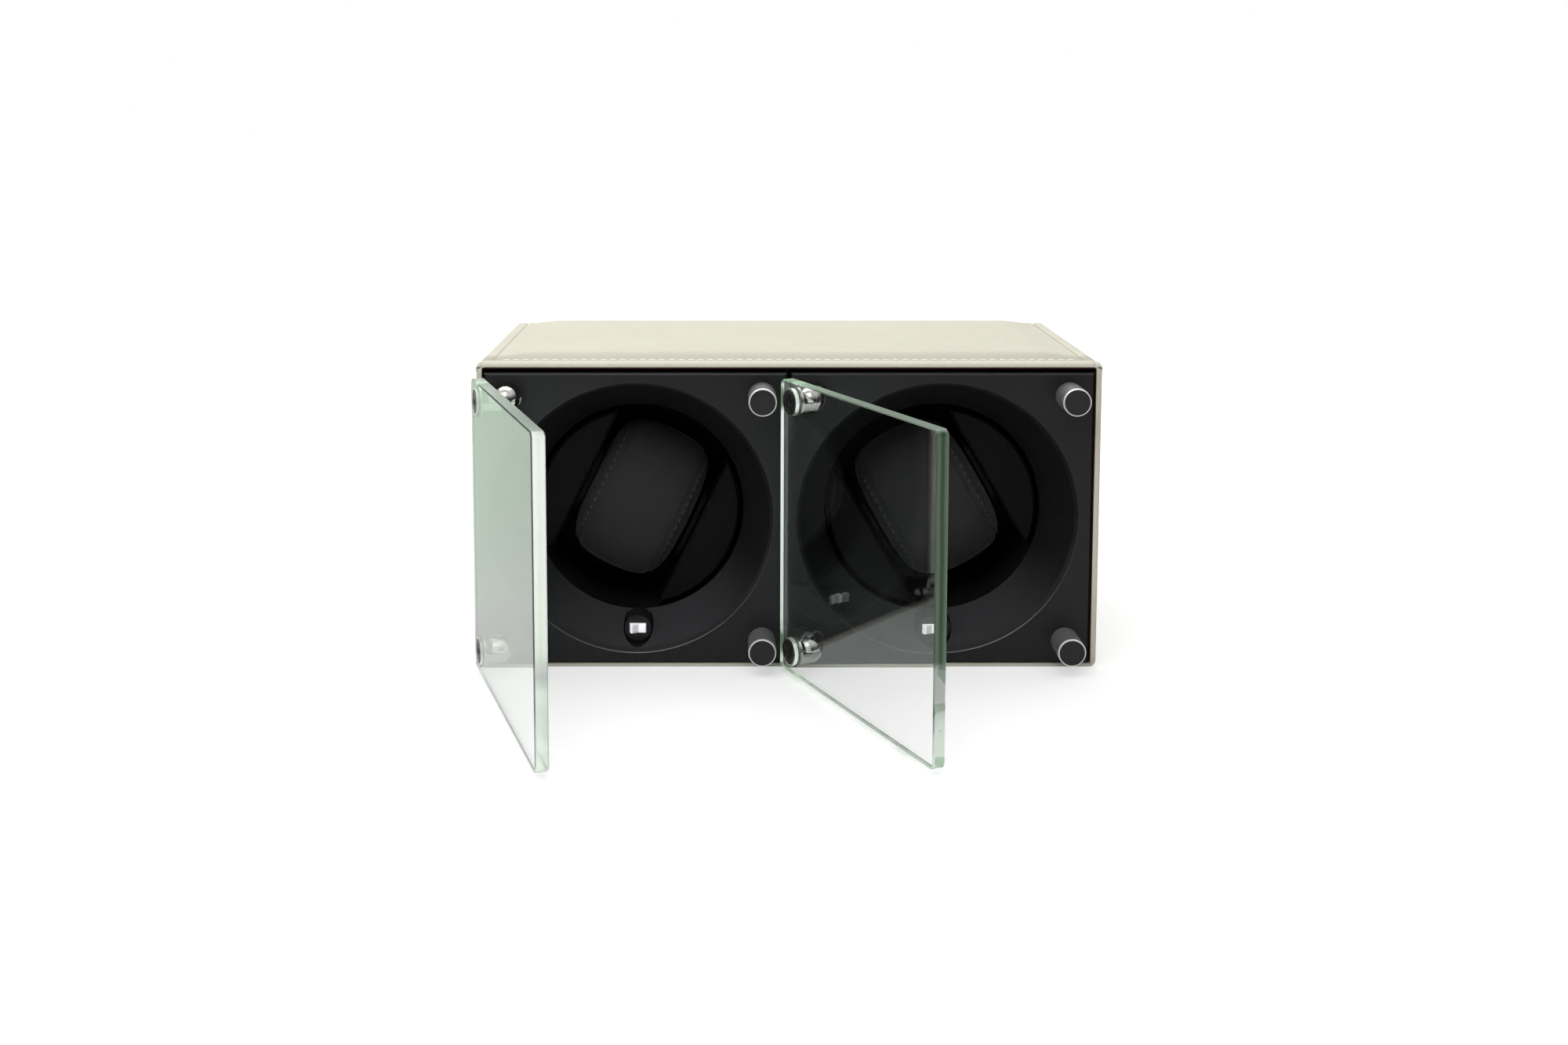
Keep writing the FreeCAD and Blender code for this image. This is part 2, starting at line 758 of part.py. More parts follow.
def build_rotor(name, side, lean):
    """The drum that turns the holder: two cheeks beside a slot, a floor and a hub, and its shaft."""
    body = new_body(name + "_rotor")
    drum = new_sketch(body, "drum", "XY_Plane", rotor_face)
    circle(drum, rotor_radius)
    pad(body, drum, s.rotor_depth)
    slot = new_sketch(body, "slot", "XY_Plane", rotor_face)
    rectangle(slot, s.rotor_slot / 2, rotor_radius + s.rotor_gap)
    pocket(body, slot, s.rotor_depth - s.rotor_floor)
    dress(body, "Chamfer", s.cheek_edge, lambda middle, edge: near(middle.z, rotor_face))
    hub = new_sketch(body, "hub", "XY_Plane", rotor_back)
    circle(hub, s.hub_radius)
    pad(body, hub, s.hub_length)
    socket = new_sketch(body, "socket", "XY_Plane", rotor_back - s.shaft_socket)
    circle(socket, s.shaft_radius + s.close_fit)
    pocket(body, socket, s.shaft_socket + s.hub_length)
    place_module(body, side, lean)
    start = rotor_back - s.shaft_socket
    shaft = cylinder(name + "_rotor_shaft", s.shaft_radius, boss_back + s.shaft_tail - start)
    shaft.Label = shaft.Name
    place(shaft, (side * module_x, plate_y + start, module_z), ((1, 0, 0), -90))
    return [body, shaft]


def tooth_points(teeth, turn):
    """Corners of one tooth from its left root to its right root.

    A flank runs from the root to the base circle, then on the involute to the pitch and tip circles.
    The half angle of the tooth at a radius is 90 degrees over the tooth count, plus the involute of
    the pressure angle, less the involute of the flank's angle at that radius."""
    pitch = s.tooth_module.value * teeth / 2
    pressure = math.radians(s.tooth_pressure.value)
    base = pitch * math.cos(pressure)
    tip = pitch + s.tooth_tip.value * s.tooth_module.value
    low = pitch - s.tooth_root.value * s.tooth_module.value
    flank = []
    for radius in (low, max(low, base), pitch, tip):
        angle = math.acos(min(1.0, base / radius))
        half = math.pi / (2 * teeth) + math.tan(pressure) - pressure - math.tan(angle) + angle
        flank.append((radius, half))
    both = [(radius, turn - half) for radius, half in flank]
    both += [(radius, turn + half) for radius, half in reversed(flank)]
    return [FreeCAD.Vector(radius * math.cos(angle), radius * math.sin(angle), 0) for radius, angle in both]


def gear_solid(teeth, phase, width):
    """A spur gear of straight-sided flanks, with a tooth turned from the x axis by phase."""
    points = []
    for number in range(teeth):
        points += tooth_points(teeth, phase + 2 * math.pi * number / teeth)
    before = points[-1:] + points[:-1]
    corners = [point for point, last in zip(points, before) if point.distanceToPoint(last) > TINY]
    face = Part.Face(Part.makePolygon(corners + corners[:1]))
    return face.extrude(FreeCAD.Vector(0, 0, width))


def build_gears(name, side):
    """The drive gear on the rotor's shaft and the motor's pinion with its arbor, in mesh."""
    turn = math.radians(s.motor_turn.value)
    gear_teeth = int(s.gear_teeth.value)
    pinion_teeth = int(s.pinion_teeth.value)
    blank = gear_solid(gear_teeth, turn, s.gear_width.value)
    bore = Part.makeCylinder(s.shaft_radius.value + s.close_fit.value, s.gear_width.value)
    gear = doc.addObject("Part::Feature", name + "_drive_gear")
    gear.Label = gear.Name
    gear.Shape = blank.cut(bore)
    place(gear, (side * module_x, plate_y + gear_front, module_z), ((1, 0, 0), -90))
    facing = turn + math.pi
    gap = facing + math.pi / pinion_teeth
    length = s.gear_width.value + 2 * s.pinion_overhang.value
    teeth = gear_solid(pinion_teeth, gap, length)
    start = gear_front - s.pinion_overhang
    reach = (bearing_front + s.motor_bore - s.arbor_play - start).value
    arbor = Part.makeCylinder(s.motor_shaft_radius.value, reach)
    pinion = doc.addObject("Part::Feature", name + "_motor_pinion")
    pinion.Label = pinion.Name
    pinion.Shape = teeth.fuse(arbor).removeSplitter()
    place(pinion, (side * module_x + motor_x, plate_y + start, module_z - motor_y), ((1, 0, 0), -90))
    return [gear, pinion]


def build_motor(name, side):
    """The geared motor: a can with a nose that centres it in the bearing plate."""
    body = new_body(name + "_motor")
    bore = s.motor_shaft_radius + s.running_fit
    nose = bearing_front + s.motor_seat_play
    floor = bearing_front + s.motor_bore
    back = bearing_back + s.motor_length
    revolve(body, "can", [
        (bore, nose), (s.motor_nose, nose), (s.motor_nose, bearing_back), (s.motor_radius, bearing_back),
        (s.motor_radius, back), (0, back), (0, floor), (bore, floor)])
    place(body, (side * module_x + motor_x, plate_y, module_z - motor_y), ((1, 0, 0), -90))
    return [body]


def build_circuit(name, side):
    """The control board with its chip, capacitor and lead socket."""
    stem = name + "_control_board"
    half = s.circuit_length / 2
    back = circuit_front + s.circuit_thick
    board = box(stem + "_sheet", (s.circuit_length, s.circuit_height, s.circuit_thick),
                (-half, circuit_y - s.circuit_height / 2, circuit_front))
    chip = box(stem + "_chip", (s.chip_side, s.chip_side, s.chip_thick),
               (-s.chip_side / 2, circuit_y - s.chip_side / 2, back))
    can = cylinder(stem + "_capacitor", s.capacitor_radius, s.capacitor_height,
                   (-half / 2 - s.capacitor_radius, circuit_y, back))
    plug = box(stem + "_socket", (s.lead_socket_length, s.lead_socket_side, s.lead_socket_side),
               (half / 2, circuit_y - s.lead_socket_side / 2, back))
    node = fuse(stem, board, chip, can, plug)
    node.Label = stem
    place_module(node, side)
    return [node]


def build_inlet(name, side):
    """The power inlet: a round socket seated behind the rear cover, and the contact pin in its floor."""
    body = new_body(name + "_power_inlet")
    start = cover_front - s.inlet_length
    floor = start + s.inlet_floor
    seat = floor - s.inlet_seat
    end = cover_back + s.inlet_proud
    revolve(body, "socket", [
        (0, start), (s.inlet_radius, start), (s.inlet_radius, cover_front), (s.inlet_barrel, cover_front),
        (s.inlet_barrel, end), (s.inlet_bore, end), (s.inlet_bore, floor),
        (s.inlet_contact + s.close_fit, floor), (s.inlet_contact + s.close_fit, seat), (0, seat)])
    spot = (side * module_x - s.inlet_place, plate_y, module_z - s.inlet_place)
    backwards = ((1, 0, 0), -90)
    place(body, spot, backwards)
    contact = cylinder(name + "_inlet_contact", s.inlet_contact, cover_front - seat,
                       (spot[0], plate_y + seat, spot[2]), backwards)
    return [body, contact]


def build_switch(name, side):
    """The round switch body with its rectangular well, and the clear rocker that tips in it."""
    body = new_body(name + "_switch_body")
    barrel = new_sketch(body, "barrel", "XY_Plane", s.switch_face)
    circle(barrel, s.switch_radius)
    pad(body, barrel, pocket_floor - s.switch_face)
    dish = new_sketch(body, "dish", "XY_Plane", s.switch_face)
    circle(dish, s.switch_radius - s.switch_rim)
    pocket(body, dish, s.switch_dish)
    well = new_sketch(body, "well", "XY_Plane", s.switch_face)
    rectangle(well, s.rocker_length / 2 + s.rocker_play, s.rocker_height / 2 + s.rocker_side_play)
    pocket(body, well, s.rocker_well)
    place(body, (side * module_x, plate_y, module_z - switch_drop), ((1, 0, 0), -90))
    rocker = new_body(name + "_switch_rocker")
    profile = new_sketch(rocker, "profile", "XZ_Plane", -s.rocker_height / 2)
    half = s.rocker_length / 2
    outline(profile, [(-half, -s.rocker_rise), (0, s.rocker_dip - s.rocker_rise), (half, -s.rocker_rise),
                      (half, s.rocker_foot), (0, 2 * s.rocker_foot), (-half, s.rocker_foot)])
    pad(rocker, profile, s.rocker_height)
    pivot = (side * module_x, plate_y + s.switch_face + s.rocker_sink, module_z - switch_drop)
    place(rocker, pivot, ((0, 0, 1), s.rocker_tilt), ((1, 0, 0), -90))
    return [body, rocker]


def build_stop_posts():
    """The posts that the closed doors rest against, with black bumpers set in their ends."""
    posts = []
    bumpers = []
    for name, side, _, _ in SIDES:
        for sy in (-1, 1):
            stem = "%s_%s_stop" % (name, "upper" if sy < 0 else "lower")
            spot = (side * module_x + post_x, plate_y, module_z - sy * post_y)
            post = new_body(stem)
            seat = post_length - s.bumper_depth
            revolve(post, "barrel", [
                (0, s.plate_thick + s.stud_reach), (s.stud_radius, s.plate_thick + s.stud_reach),
                (s.stud_radius, 0), (s.post_radius, 0), (s.post_radius, s.post_bevel - post_length),
                (s.post_radius - s.post_bevel / 2, -post_length), (bumper_radius, -post_length),
                (bumper_radius, -seat), (0, -seat)])
            place(post, spot, ((1, 0, 0), -90))
            posts.append(post)
            face = (spot[0], plate_y - seat, spot[2])
            bumpers.append(cylinder(stem + "_bumper", bumper_radius - s.close_fit,
                                    s.bumper_depth - s.bumper_recess, face, ((1, 0, 0), 90)))
    return [group("stop_posts", posts), group("stop_bumpers", bumpers)]


def lap_rod(stem, start, reach, height, upper):
    """A round rod along y from a start to the hinge pin, with half of its ball end cut away.

    The ball is centred on the pin's axis, and the ear that stays is the upper or the lower half."""
    span = 2 * post_clear
    ahead = 1 if upper else -1
    turn = ((1, 0, 0), -90 * ahead)
    rod = cylinder(stem + "_rod", ear_radius, start + ear_radius, (0, -ahead * ear_radius, height), turn)
    low_y = 0 if upper else -start
    shank = box(stem + "_shank", (span, start, span), (-post_clear, low_y, height - post_clear))
    eye = ball(stem + "_eye", s.post_radius, (0, 0, height))
    rounded = boolean("Common", stem + "_rounded", rod, fuse(stem + "_stadium", shank, eye))
    relief_y = -post_clear if upper else -reach
    relief_z = height + s.lap_gap / 2 - span if upper else height - s.lap_gap / 2
    relief = box(stem + "_relief", (span, post_clear + reach, span), (-post_clear, relief_y, relief_z))
    return boolean("Cut", stem + "_ear", rounded, relief)


def build_hinge_posts():
    """The hinge posts on the plates, each with an upper half ear, and the pins through the ears."""
    posts = []
    pins = []
    for name, side, _, _ in SIDES:
        for sz in (-1, 1):
            stem = "%s_%s_hinge" % (name, "upper" if sz > 0 else "lower")
            height = sz * post_y
            ear = lap_rod(stem, s.pivot_stand, shoulder, height, True)
            stud = cylinder(stem + "_stud", s.stud_radius, s.plate_thick + s.stud_reach,
                            (0, s.pivot_stand, height), ((1, 0, 0), -90))
            solid = fuse(stem + "_solid", ear, stud)
            hole = cylinder(stem + "_hole", s.pin_radius + s.close_fit, 2 * post_clear,
                            (0, 0, height - post_clear))
            post = boolean("Cut", stem, solid, hole)
            place_door(post, side)
            posts.append(post)
            length = 2 * (ear_radius - s.pin_inset)
            pin = cylinder(stem + "_pin", s.pin_radius, length)
            base = (side * module_x - post_x, plate_y - s.pivot_stand, module_z + height - length / 2)
            place(pin, base)
            pins.append(pin)
    return [group("hinge_posts", posts), group("hinge_pins", pins)]


def build_door(name, side, opening):
    """A glass door with its hinge knuckles, gaskets and screws."""
    glass = new_body(name + "_door_glass")
    pane = new_sketch(glass, "pane", "XZ_Plane", glass_inner)
    free = glass_width - s.glass_hinge_margin
    outline(pane, [(-s.glass_hinge_margin, -glass_height / 2), (free, -glass_height / 2),
                   (free, glass_height / 2), (-s.glass_hinge_margin, glass_height / 2)])
    pad(glass, pane, s.glass_thick)
    across = FreeCAD.Vector(0, 1, 0)
    dress(glass, "Fillet", s.glass_corner, lambda middle, edge: straight_along(edge, across))
    dress(glass, "Chamfer", s.glass_arris,
          lambda middle, edge: near(middle.y, -glass_inner) or near(middle.y, -glass_outer))
    holes = new_sketch(glass, "holes", "XZ_Plane", glass_inner)
    for sz in (-1, 1):
        circle(holes, ear_radius + s.running_fit, 0, sz * post_y)
    pocket(glass, holes, s.glass_thick)
    place_door(glass, side, opening)
    knuckles = []
    gaskets = []
    screws = []
    forward = ((1, 0, 0), 90)
    for sz in (-1, 1):
        stem = "%s_%s_knuckle" % (name, "upper" if sz > 0 else "lower")
        height = sz * post_y
        ear = lap_rod(stem, glass_outer, shoulder, height, False)
        flange = cylinder(stem + "_flange", gasket_radius, s.flange_thick, (0, -shoulder, height), forward)
        solid = fuse(stem + "_solid", ear, flange)
        pin_hole = cylinder(stem + "_pin_hole", s.pin_radius + s.running_fit, 2 * post_clear,
                            (0, 0, height - post_clear))
        seat = s.screw_depth - glass_outer
        recess = cylinder(stem + "_recess", ear_radius - s.screw_rim, s.screw_depth,
                          (0, seat, height), forward)
        bore = cylinder(stem + "_bore", s.screw_shank + s.close_fit, s.screw_reach,
                        (0, seat + s.screw_reach, height), forward)
        hollows = fuse(stem + "_hollows", pin_hole, recess, bore)
        knuckles.append(boolean("Cut", stem, solid, hollows))
        gaskets.append(ring(stem + "_gasket", gasket_radius, ear_radius + s.close_fit, s.gasket_thick,
                            (0, -gasket_back, height), forward))
        head = cylinder(stem + "_head", ear_radius - s.screw_rim - s.close_fit,
                        s.screw_depth - s.screw_sink, (0, seat, height), forward)
        shank = cylinder(stem + "_shank_screw", s.screw_shank, s.screw_reach - s.screw_sink,
                         (0, seat + s.screw_reach - s.screw_sink, height), forward)
        whole = fuse(stem + "_whole_screw", head, shank)
        drive = cylinder(stem + "_drive", s.socket_radius, s.socket_depth,
                         (0, s.screw_sink + s.socket_depth - glass_outer, height), forward)
        screws.append(boolean("Cut", stem + "_screw", whole, drive))
    pieces = [group(name + "_hinge_knuckles", knuckles), group(name + "_glass_gaskets", gaskets),
              group(name + "_glass_screws", screws)]
    for piece in pieces:
        place_door(piece, side, opening)
    return [glass] + pieces


def oval(across, half_height, half_depth, centre):
    """An oval wire of four arcs in the plane at x = across."""
    corners = []
    for eighth in range(9):
        angle = math.pi * eighth / 4
        along = half_height * math.cos(angle)
        corners.append(FreeCAD.Vector(across, along, centre + half_depth * math.sin(angle)))
    arcs = [Part.Arc(*corners[first:first + 3]).toShape() for first in (0, 2, 4, 6)]
    return Part.Wire(arcs)


def build_holder(name, side, lean):
    """The cradle that clips into the rotor's slot and the crowned cushion that it carries."""
    cradle = new_body(name + "_holder_cradle")
    profile = new_sketch(cradle, "profile", "XZ_Plane", -s.arm_height / 2)
    tip = cradle_back - s.arm_depth
    floor = cradle_back - s.cradle_floor
    inside = cradle_half - s.arm_thick
    outline(profile, [(-cradle_half, tip), (-inside, tip), (-inside, floor), (inside, floor), (inside, tip),
                      (cradle_half, tip), (cradle_half, cradle_back), (-cradle_half, cradle_back)])
    pad(cradle, profile, s.arm_height)
    sideways = FreeCAD.Vector(1, 0, 0)
    dress(cradle, "Fillet", s.arm_round,
          lambda middle, edge: straight_along(edge, sideways) and near(middle.z, tip))
    place_module(cradle, side, lean)
    half_width = (inside - s.cushion_play).value
    half_depth = s.cushion_depth.value / 2
    half_height = s.cushion_height.value / 2
    centre = (floor - s.cushion_play).value - half_depth
    wires = []
    for share in CUSHION_SHARES:
        draw = 1 - s.cushion_draw.value * share * share
        wires.append(oval(share * half_width, draw * half_height, draw * half_depth, centre))
    cushion = doc.addObject("Part::Feature", name + "_holder_cushion")
    cushion.Label = cushion.Name
    cushion.Shape = Part.makeLoft(wires, True, True)
    place_module(cushion, side, lean)
    return [cradle, cushion]


def build_module(name, side, lean, opening):
    """All pieces of one winder module."""
    pieces = []
    for builder in (build_front_plate, build_bowl, build_housing, build_rear_cover, build_fasteners,
                    build_bearing_plate, build_bearings, build_gears, build_motor, build_circuit,
                    build_inlet, build_switch):
        pieces += builder(name, side)
    pieces += build_rotor(name, side, lean)
    pieces += build_holder(name, side, lean)
    pieces += build_door(name, side, opening)
    return pieces


def build_all():
    """Every node of the box."""
    nodes = build_sleeve() + build_leather_top() + build_leather_bottom()
    for name, side, lean, opening in SIDES:
        nodes += build_leather_side(name, side)
        nodes += build_module(name, side, lean, opening)
    return nodes + build_stop_posts() + build_hinge_posts()


def write_nodes(nodes):
    """Check every object and node, then write one file for each node."""
    doc.recompute()
    for item in doc.Objects:
        if "Invalid" in item.State or "Error" in item.State:
            raise ValueError("%s failed: %s" % (item.Label, item.State))
    for node in nodes:
        if node.Shape.isNull() or not node.Shape.isValid() or not node.Shape.Solids:
            raise ValueError(node.Label + " has no valid solid")
    os.makedirs("parts", exist_ok=True)
    for node in nodes:
        node.Shape.exportStep("parts/%s.step" % node.Label)
    print("%d nodes, case %.1f x %.1f x %.1f mm"
          % (len(nodes), case_width.value, case_depth.value, case_height.value))


write_nodes(build_all())
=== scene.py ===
"""Looks of a leather-covered watch winder box with two glass doors."""

import json
import math

import bpy
import numpy as np
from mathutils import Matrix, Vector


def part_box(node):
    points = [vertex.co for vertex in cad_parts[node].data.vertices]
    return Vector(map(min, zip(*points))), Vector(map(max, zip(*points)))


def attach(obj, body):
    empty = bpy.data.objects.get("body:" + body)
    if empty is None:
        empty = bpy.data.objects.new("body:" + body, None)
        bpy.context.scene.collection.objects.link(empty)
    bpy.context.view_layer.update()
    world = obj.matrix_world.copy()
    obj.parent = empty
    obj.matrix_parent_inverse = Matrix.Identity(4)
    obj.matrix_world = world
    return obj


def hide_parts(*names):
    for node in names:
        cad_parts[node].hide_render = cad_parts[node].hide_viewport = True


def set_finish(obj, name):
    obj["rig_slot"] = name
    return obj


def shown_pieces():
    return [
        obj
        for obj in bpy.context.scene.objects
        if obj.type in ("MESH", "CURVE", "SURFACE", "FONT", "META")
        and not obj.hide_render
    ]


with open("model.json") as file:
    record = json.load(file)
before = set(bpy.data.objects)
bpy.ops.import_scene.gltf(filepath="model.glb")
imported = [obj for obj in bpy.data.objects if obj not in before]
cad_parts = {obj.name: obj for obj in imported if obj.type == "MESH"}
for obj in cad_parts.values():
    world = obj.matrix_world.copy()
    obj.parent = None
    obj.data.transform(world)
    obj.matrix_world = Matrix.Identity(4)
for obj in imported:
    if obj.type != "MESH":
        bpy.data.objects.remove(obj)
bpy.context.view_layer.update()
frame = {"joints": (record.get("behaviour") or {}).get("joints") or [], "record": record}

MM = 0.001
JOINTS = {joint["name"]: joint for joint in frame["joints"]}
side_low, side_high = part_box("leather_right")
top_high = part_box("leather_top")[1]

# Outside of the leather case; the padding stands a little higher than the plain crown of the solid
CROWN_SHARE = 1.4
HALF_WIDTH = side_high.x
FRONT = side_low.y
BACK = side_high.y
LID_TOP = side_high.z
CROWN = CROWN_SHARE * (top_high.z - side_high.z)
SKIN = HALF_WIDTH - top_high.x
LIP = side_high.x - side_low.x

# Folds and padding of the leather
SIDE_ROLL = 2.0 * MM
FRONT_ROLL = 1.4 * MM
BACK_ROLL = 0.9 * MM
SIDE_TAIL = 0.4 * MM
SHOULDER = 14.0 * MM
BACK_SHOULDER = 4.0 * MM
SEAM_SETBACK = 7.0 * MM
SEAM_SLOPE = 10.0 * MM
SEAM_DIP = 0.15 * MM
SEAM_WIDTH = 0.75 * MM
PUCKER_DEPTH = 0.015 * MM
PUCKER_REACH = 2.0 * MM
ROLL_SETBACK = 2.4 * MM
ROLL_RISE = 0.4 * MM
ROLL_WIDTH = 1.7 * MM
MITRE_INSET = 2.2 * MM
MITRE_WIDTH = 0.4 * MM
MITRE_DEPTH = 0.7 * MM
MITRE_REACH = 3.5 * MM
MITRE_SINK = 0.5
# Painted shade on the lid: darkest this far behind the front seam, and fading out over this width
SEAM_SHADE_BEHIND = 3.0 * MM
SEAM_SHADE_WIDTH = 10.0 * MM
CREASE_INSET = 4.5 * MM
CREASE_DEPTH = 0.4 * MM
CREASE_WIDTH = 0.55 * MM
CREASE_FADE = 2.0 * MM
WAVE_DEPTH = 0.06 * MM
WAVE_ACROSS = 23.0 * MM
WAVE_ALONG = 17.0 * MM
WAVE_ACROSS_START = 1.3
WAVE_ALONG_START = 0.4
CORNER_POWER = 4
SIDE_BULGE = 0.45 * MM
BULGE_FROM_FOOT = 30.0 * MM
BULGE_FROM_LID = 22.0 * MM
BULGE_FROM_ENDS = 12.0 * MM
SIDE_EDGE = 0.9 * MM
LIP_REACH = 6.0 * MM
SIDE_FOOT = 0.5 * MM
FOOT_ROUND = 1.7 * MM
FOOT_TUCK = 0.7

# Grid lines of the surfaces; those of the lid crowd to its edges
LID_COLUMNS = 331
LID_FRONT_ROWS = 84
LID_BACK_ROWS = 32
COLUMN_CROWDING = 0.25
ROW_CROWDING = 1.6
LIP_POINTS = 6
EDGE_POINTS = 12
WALL_POINTS = 60
FOOT_POINTS = 14
RISE_POINTS = 50
CUSHION_COLUMNS = 121
CUSHION_ROWS = 160
SCREW_POINTS = 96
ROCKER_POINTS = 41

# Stitches; those along the creases have a share of the seam's thickness and rise
STITCH_PITCH = 3.3 * MM
STITCH_LENGTH = 2.5 * MM
STITCH_RADIUS = 0.3 * MM
STITCH_RISE = 0.35 * MM
SEAM_END = 1.5 * MM
CREASE_THREAD = 0.5
CREASE_RISE = 0.7
THREAD_STEPS = 13
THREAD_SIDES = 10
THREAD_END = 0.01 * MM

# Holder cushions, centred on the rotor's axis and turned with the slot: half sizes, then shares of them
CUSHION_WIDTH = 18.4 * MM
CUSHION_HEIGHT = 27.0 * MM
CUSHION_DEPTH = 17.4 * MM
CUSHION_DRAW = 0.12
CUSHION_SEAM = 0.74
CUSHION_ROUND = 7
CUSHION_FALL = 3.2
CUSHION_SEAM_DIP = 0.022
CUSHION_SEAM_WIDTH = 0.035
CUSHION_CREASE = 0.006
CUSHION_CREASES = 9.0
CUSHION_CREASE_SLANT = 3.0
CUSHION_CREASE_WIDTH = 0.2
CUSHION_STITCHES = 46
CUSHION_STITCH_OUT = 0.07
CUSHION_STITCH_LENGTH = 1.9 * MM
CUSHION_STITCH_RADIUS = 0.2 * MM
CUSHION_STITCH_RISE = 0.25 * MM
LEANS = {"left": math.radians(26.0), "right": math.radians(-30.0)}

# Rockers, measured from their pivots; the last three shape the key's outline, edge and dip
ROCKER_LENGTH = 2.8 * MM
ROCKER_HEIGHT = 1.65 * MM
ROCKER_RISE = 2.0 * MM
ROCKER_DIP = 1.1 * MM
ROCKER_FOOT = 0.9 * MM
ROCKER_TILT = math.radians(12.0)
ROCKER_SQUARE = 10
ROCKER_ROUND = 0.25
ROCKER_VALLEY = 0.015

# Door screws, measured from the hinge pin along the door's outward normal
SCREW_FACE = 10.2 * MM
SCREW_HEAD = 3.94 * MM
SCREW_THICK = 1.25 * MM
SCREW_SHANK = 1.5 * MM
SCREW_REACH = 6.0 * MM
SCREW_BEVEL = 0.2 * MM
LOBE_RADIUS = 1.15 * MM
LOBE_SHARE = 0.16
LOBE_COUNT = 6
LOBE_DEPTH = 0.8 * MM
LOBE_EDGE = 0.06 * MM
POST_HEIGHT = 42.3 * MM

# Shares: of the recess where its floor turns up, of the bevel at its middle ring, of a disc left open
LOBE_FLOOR = 0.98
LOBE_FOOT = 0.96
BEVEL_MIDDLE = 0.3
PINHOLE = 0.02

# Door glass, measured from the hinge pin along the door's outward normal
GLASS_INNER = 6.1 * MM
GLASS_THICK = 4.2 * MM
# Painted light on the glass: the floor's light below and towards a line up from the case's foot, bands of light and
# shade along the edges, patches near the foot and a highlight on top edges; CLEAR_FACE and GRAZING_FACE are the
# glass's own colours
FOOT_SLOPE = 0.356
FOOT_BLUR = 1.5 * MM
PAINTED_LIGHT_REACH = 55.0 * MM
PAINTED_EDGE_BANDS = 9.4
EDGE_WANDER = 0.12
PAINTED_PATCH_SCALE = 230.0
CLEAR_FACE = (0.92, 0.96, 0.93, 1.0)
GRAZING_FACE = (0.25, 0.70, 0.25, 1.0)
GRAZING_PAINTED_LOW = (0.74, 0.88, 0.74, 1.0)
GRAZING_PAINTED_FOOT = (0.94, 0.96, 0.94, 1.0)
PAINTED_TOP_EDGE_LIGHT = (0.74, 0.90, 0.75, 1.0)
PAINTED_FOOT_PATCH = (0.92, 0.97, 0.92, 1.0)

# Cosine of the plate's bevels
BEVEL_COSINE = 0.707

# Floor and camera, in metres and radians
FLOOR_HALF = 6.0
FLOOR_DROP = 0.1 * MM
CAMERA_PLACE = (-18.56 * MM, -582.98 * MM, 188.92 * MM)
CAMERA_PITCH = 0.1


def ease(share):
    """Smooth step t * t * (3 - 2 t) of a share held between 0 and 1."""
    held = np.clip(share, 0.0, 1.0)
    return held * held * (3.0 - 2.0 * held)


def hump(distance, width):
    """Bell curve exp(-(d / w)^2)."""
    return np.exp(-np.square(distance / width))


def fold_over(arc, reach, radius):
    """Where a skin lies after an arc length: flat, then a quarter circle of the radius, then straight down.

    Gives the place, which ends at reach, and the drop r (1 - cos a), which goes on past the fold."""
    flat = reach - radius
    angle = np.clip((arc - flat) / radius, 0.0, math.pi / 2)
    tail = np.maximum(arc - flat - radius * math.pi / 2, 0.0)
    place = np.minimum(arc, flat) + radius * np.sin(angle)
    return place, radius * (1.0 - np.cos(angle)) + tail


def folded_length(reach, radius, tail):
    """Arc length of a folded skin: the flat, the quarter circle and the tail."""
    return reach - radius + radius * math.pi / 2 + tail


def lay_surfaces(name, points, wraps=(False, False)):
    """A mesh over grids of points P[k, i, j], with one quad for each cell (i, i + 1) x (j, j + 1)."""
    count = points.shape[0] * points.shape[1] * points.shape[2]
    index = np.arange(count).reshape(points.shape[:3])
    if wraps[0]:
        index = np.concatenate([index, index[:, :1]], axis=1)
    if wraps[1]:
        index = np.concatenate([index, index[:, :, :1]], axis=2)
    corners = (index[:, :-1, :-1], index[:, 1:, :-1], index[:, 1:, 1:], index[:, :-1, 1:])
    quads = np.stack(corners, axis=-1).reshape(-1, 4)
    mesh = bpy.data.meshes.new(name)
    mesh.from_pydata(points.reshape(-1, 3).tolist(), [], quads.tolist())
    mesh.polygons.foreach_set("use_smooth", np.ones(len(quads), dtype=bool))
    mesh.update()
    item = bpy.data.objects.new(name, mesh)
    bpy.context.scene.collection.objects.link(item)
    return item


def settle(item, body, slot_name, *stood_for):
    """Let a piece ride on a body, take a slot's finish and stand for CAD nodes."""
    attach(item, body)
    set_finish(item, slot_name)
    if stood_for:
        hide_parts(*stood_for)


def thicken(item, thickness):
    """Give a skin its thickness, inwards."""
    skin = item.modifiers.new("skin", "SOLIDIFY")
    skin.thickness = thickness
    skin.offset = -1.0


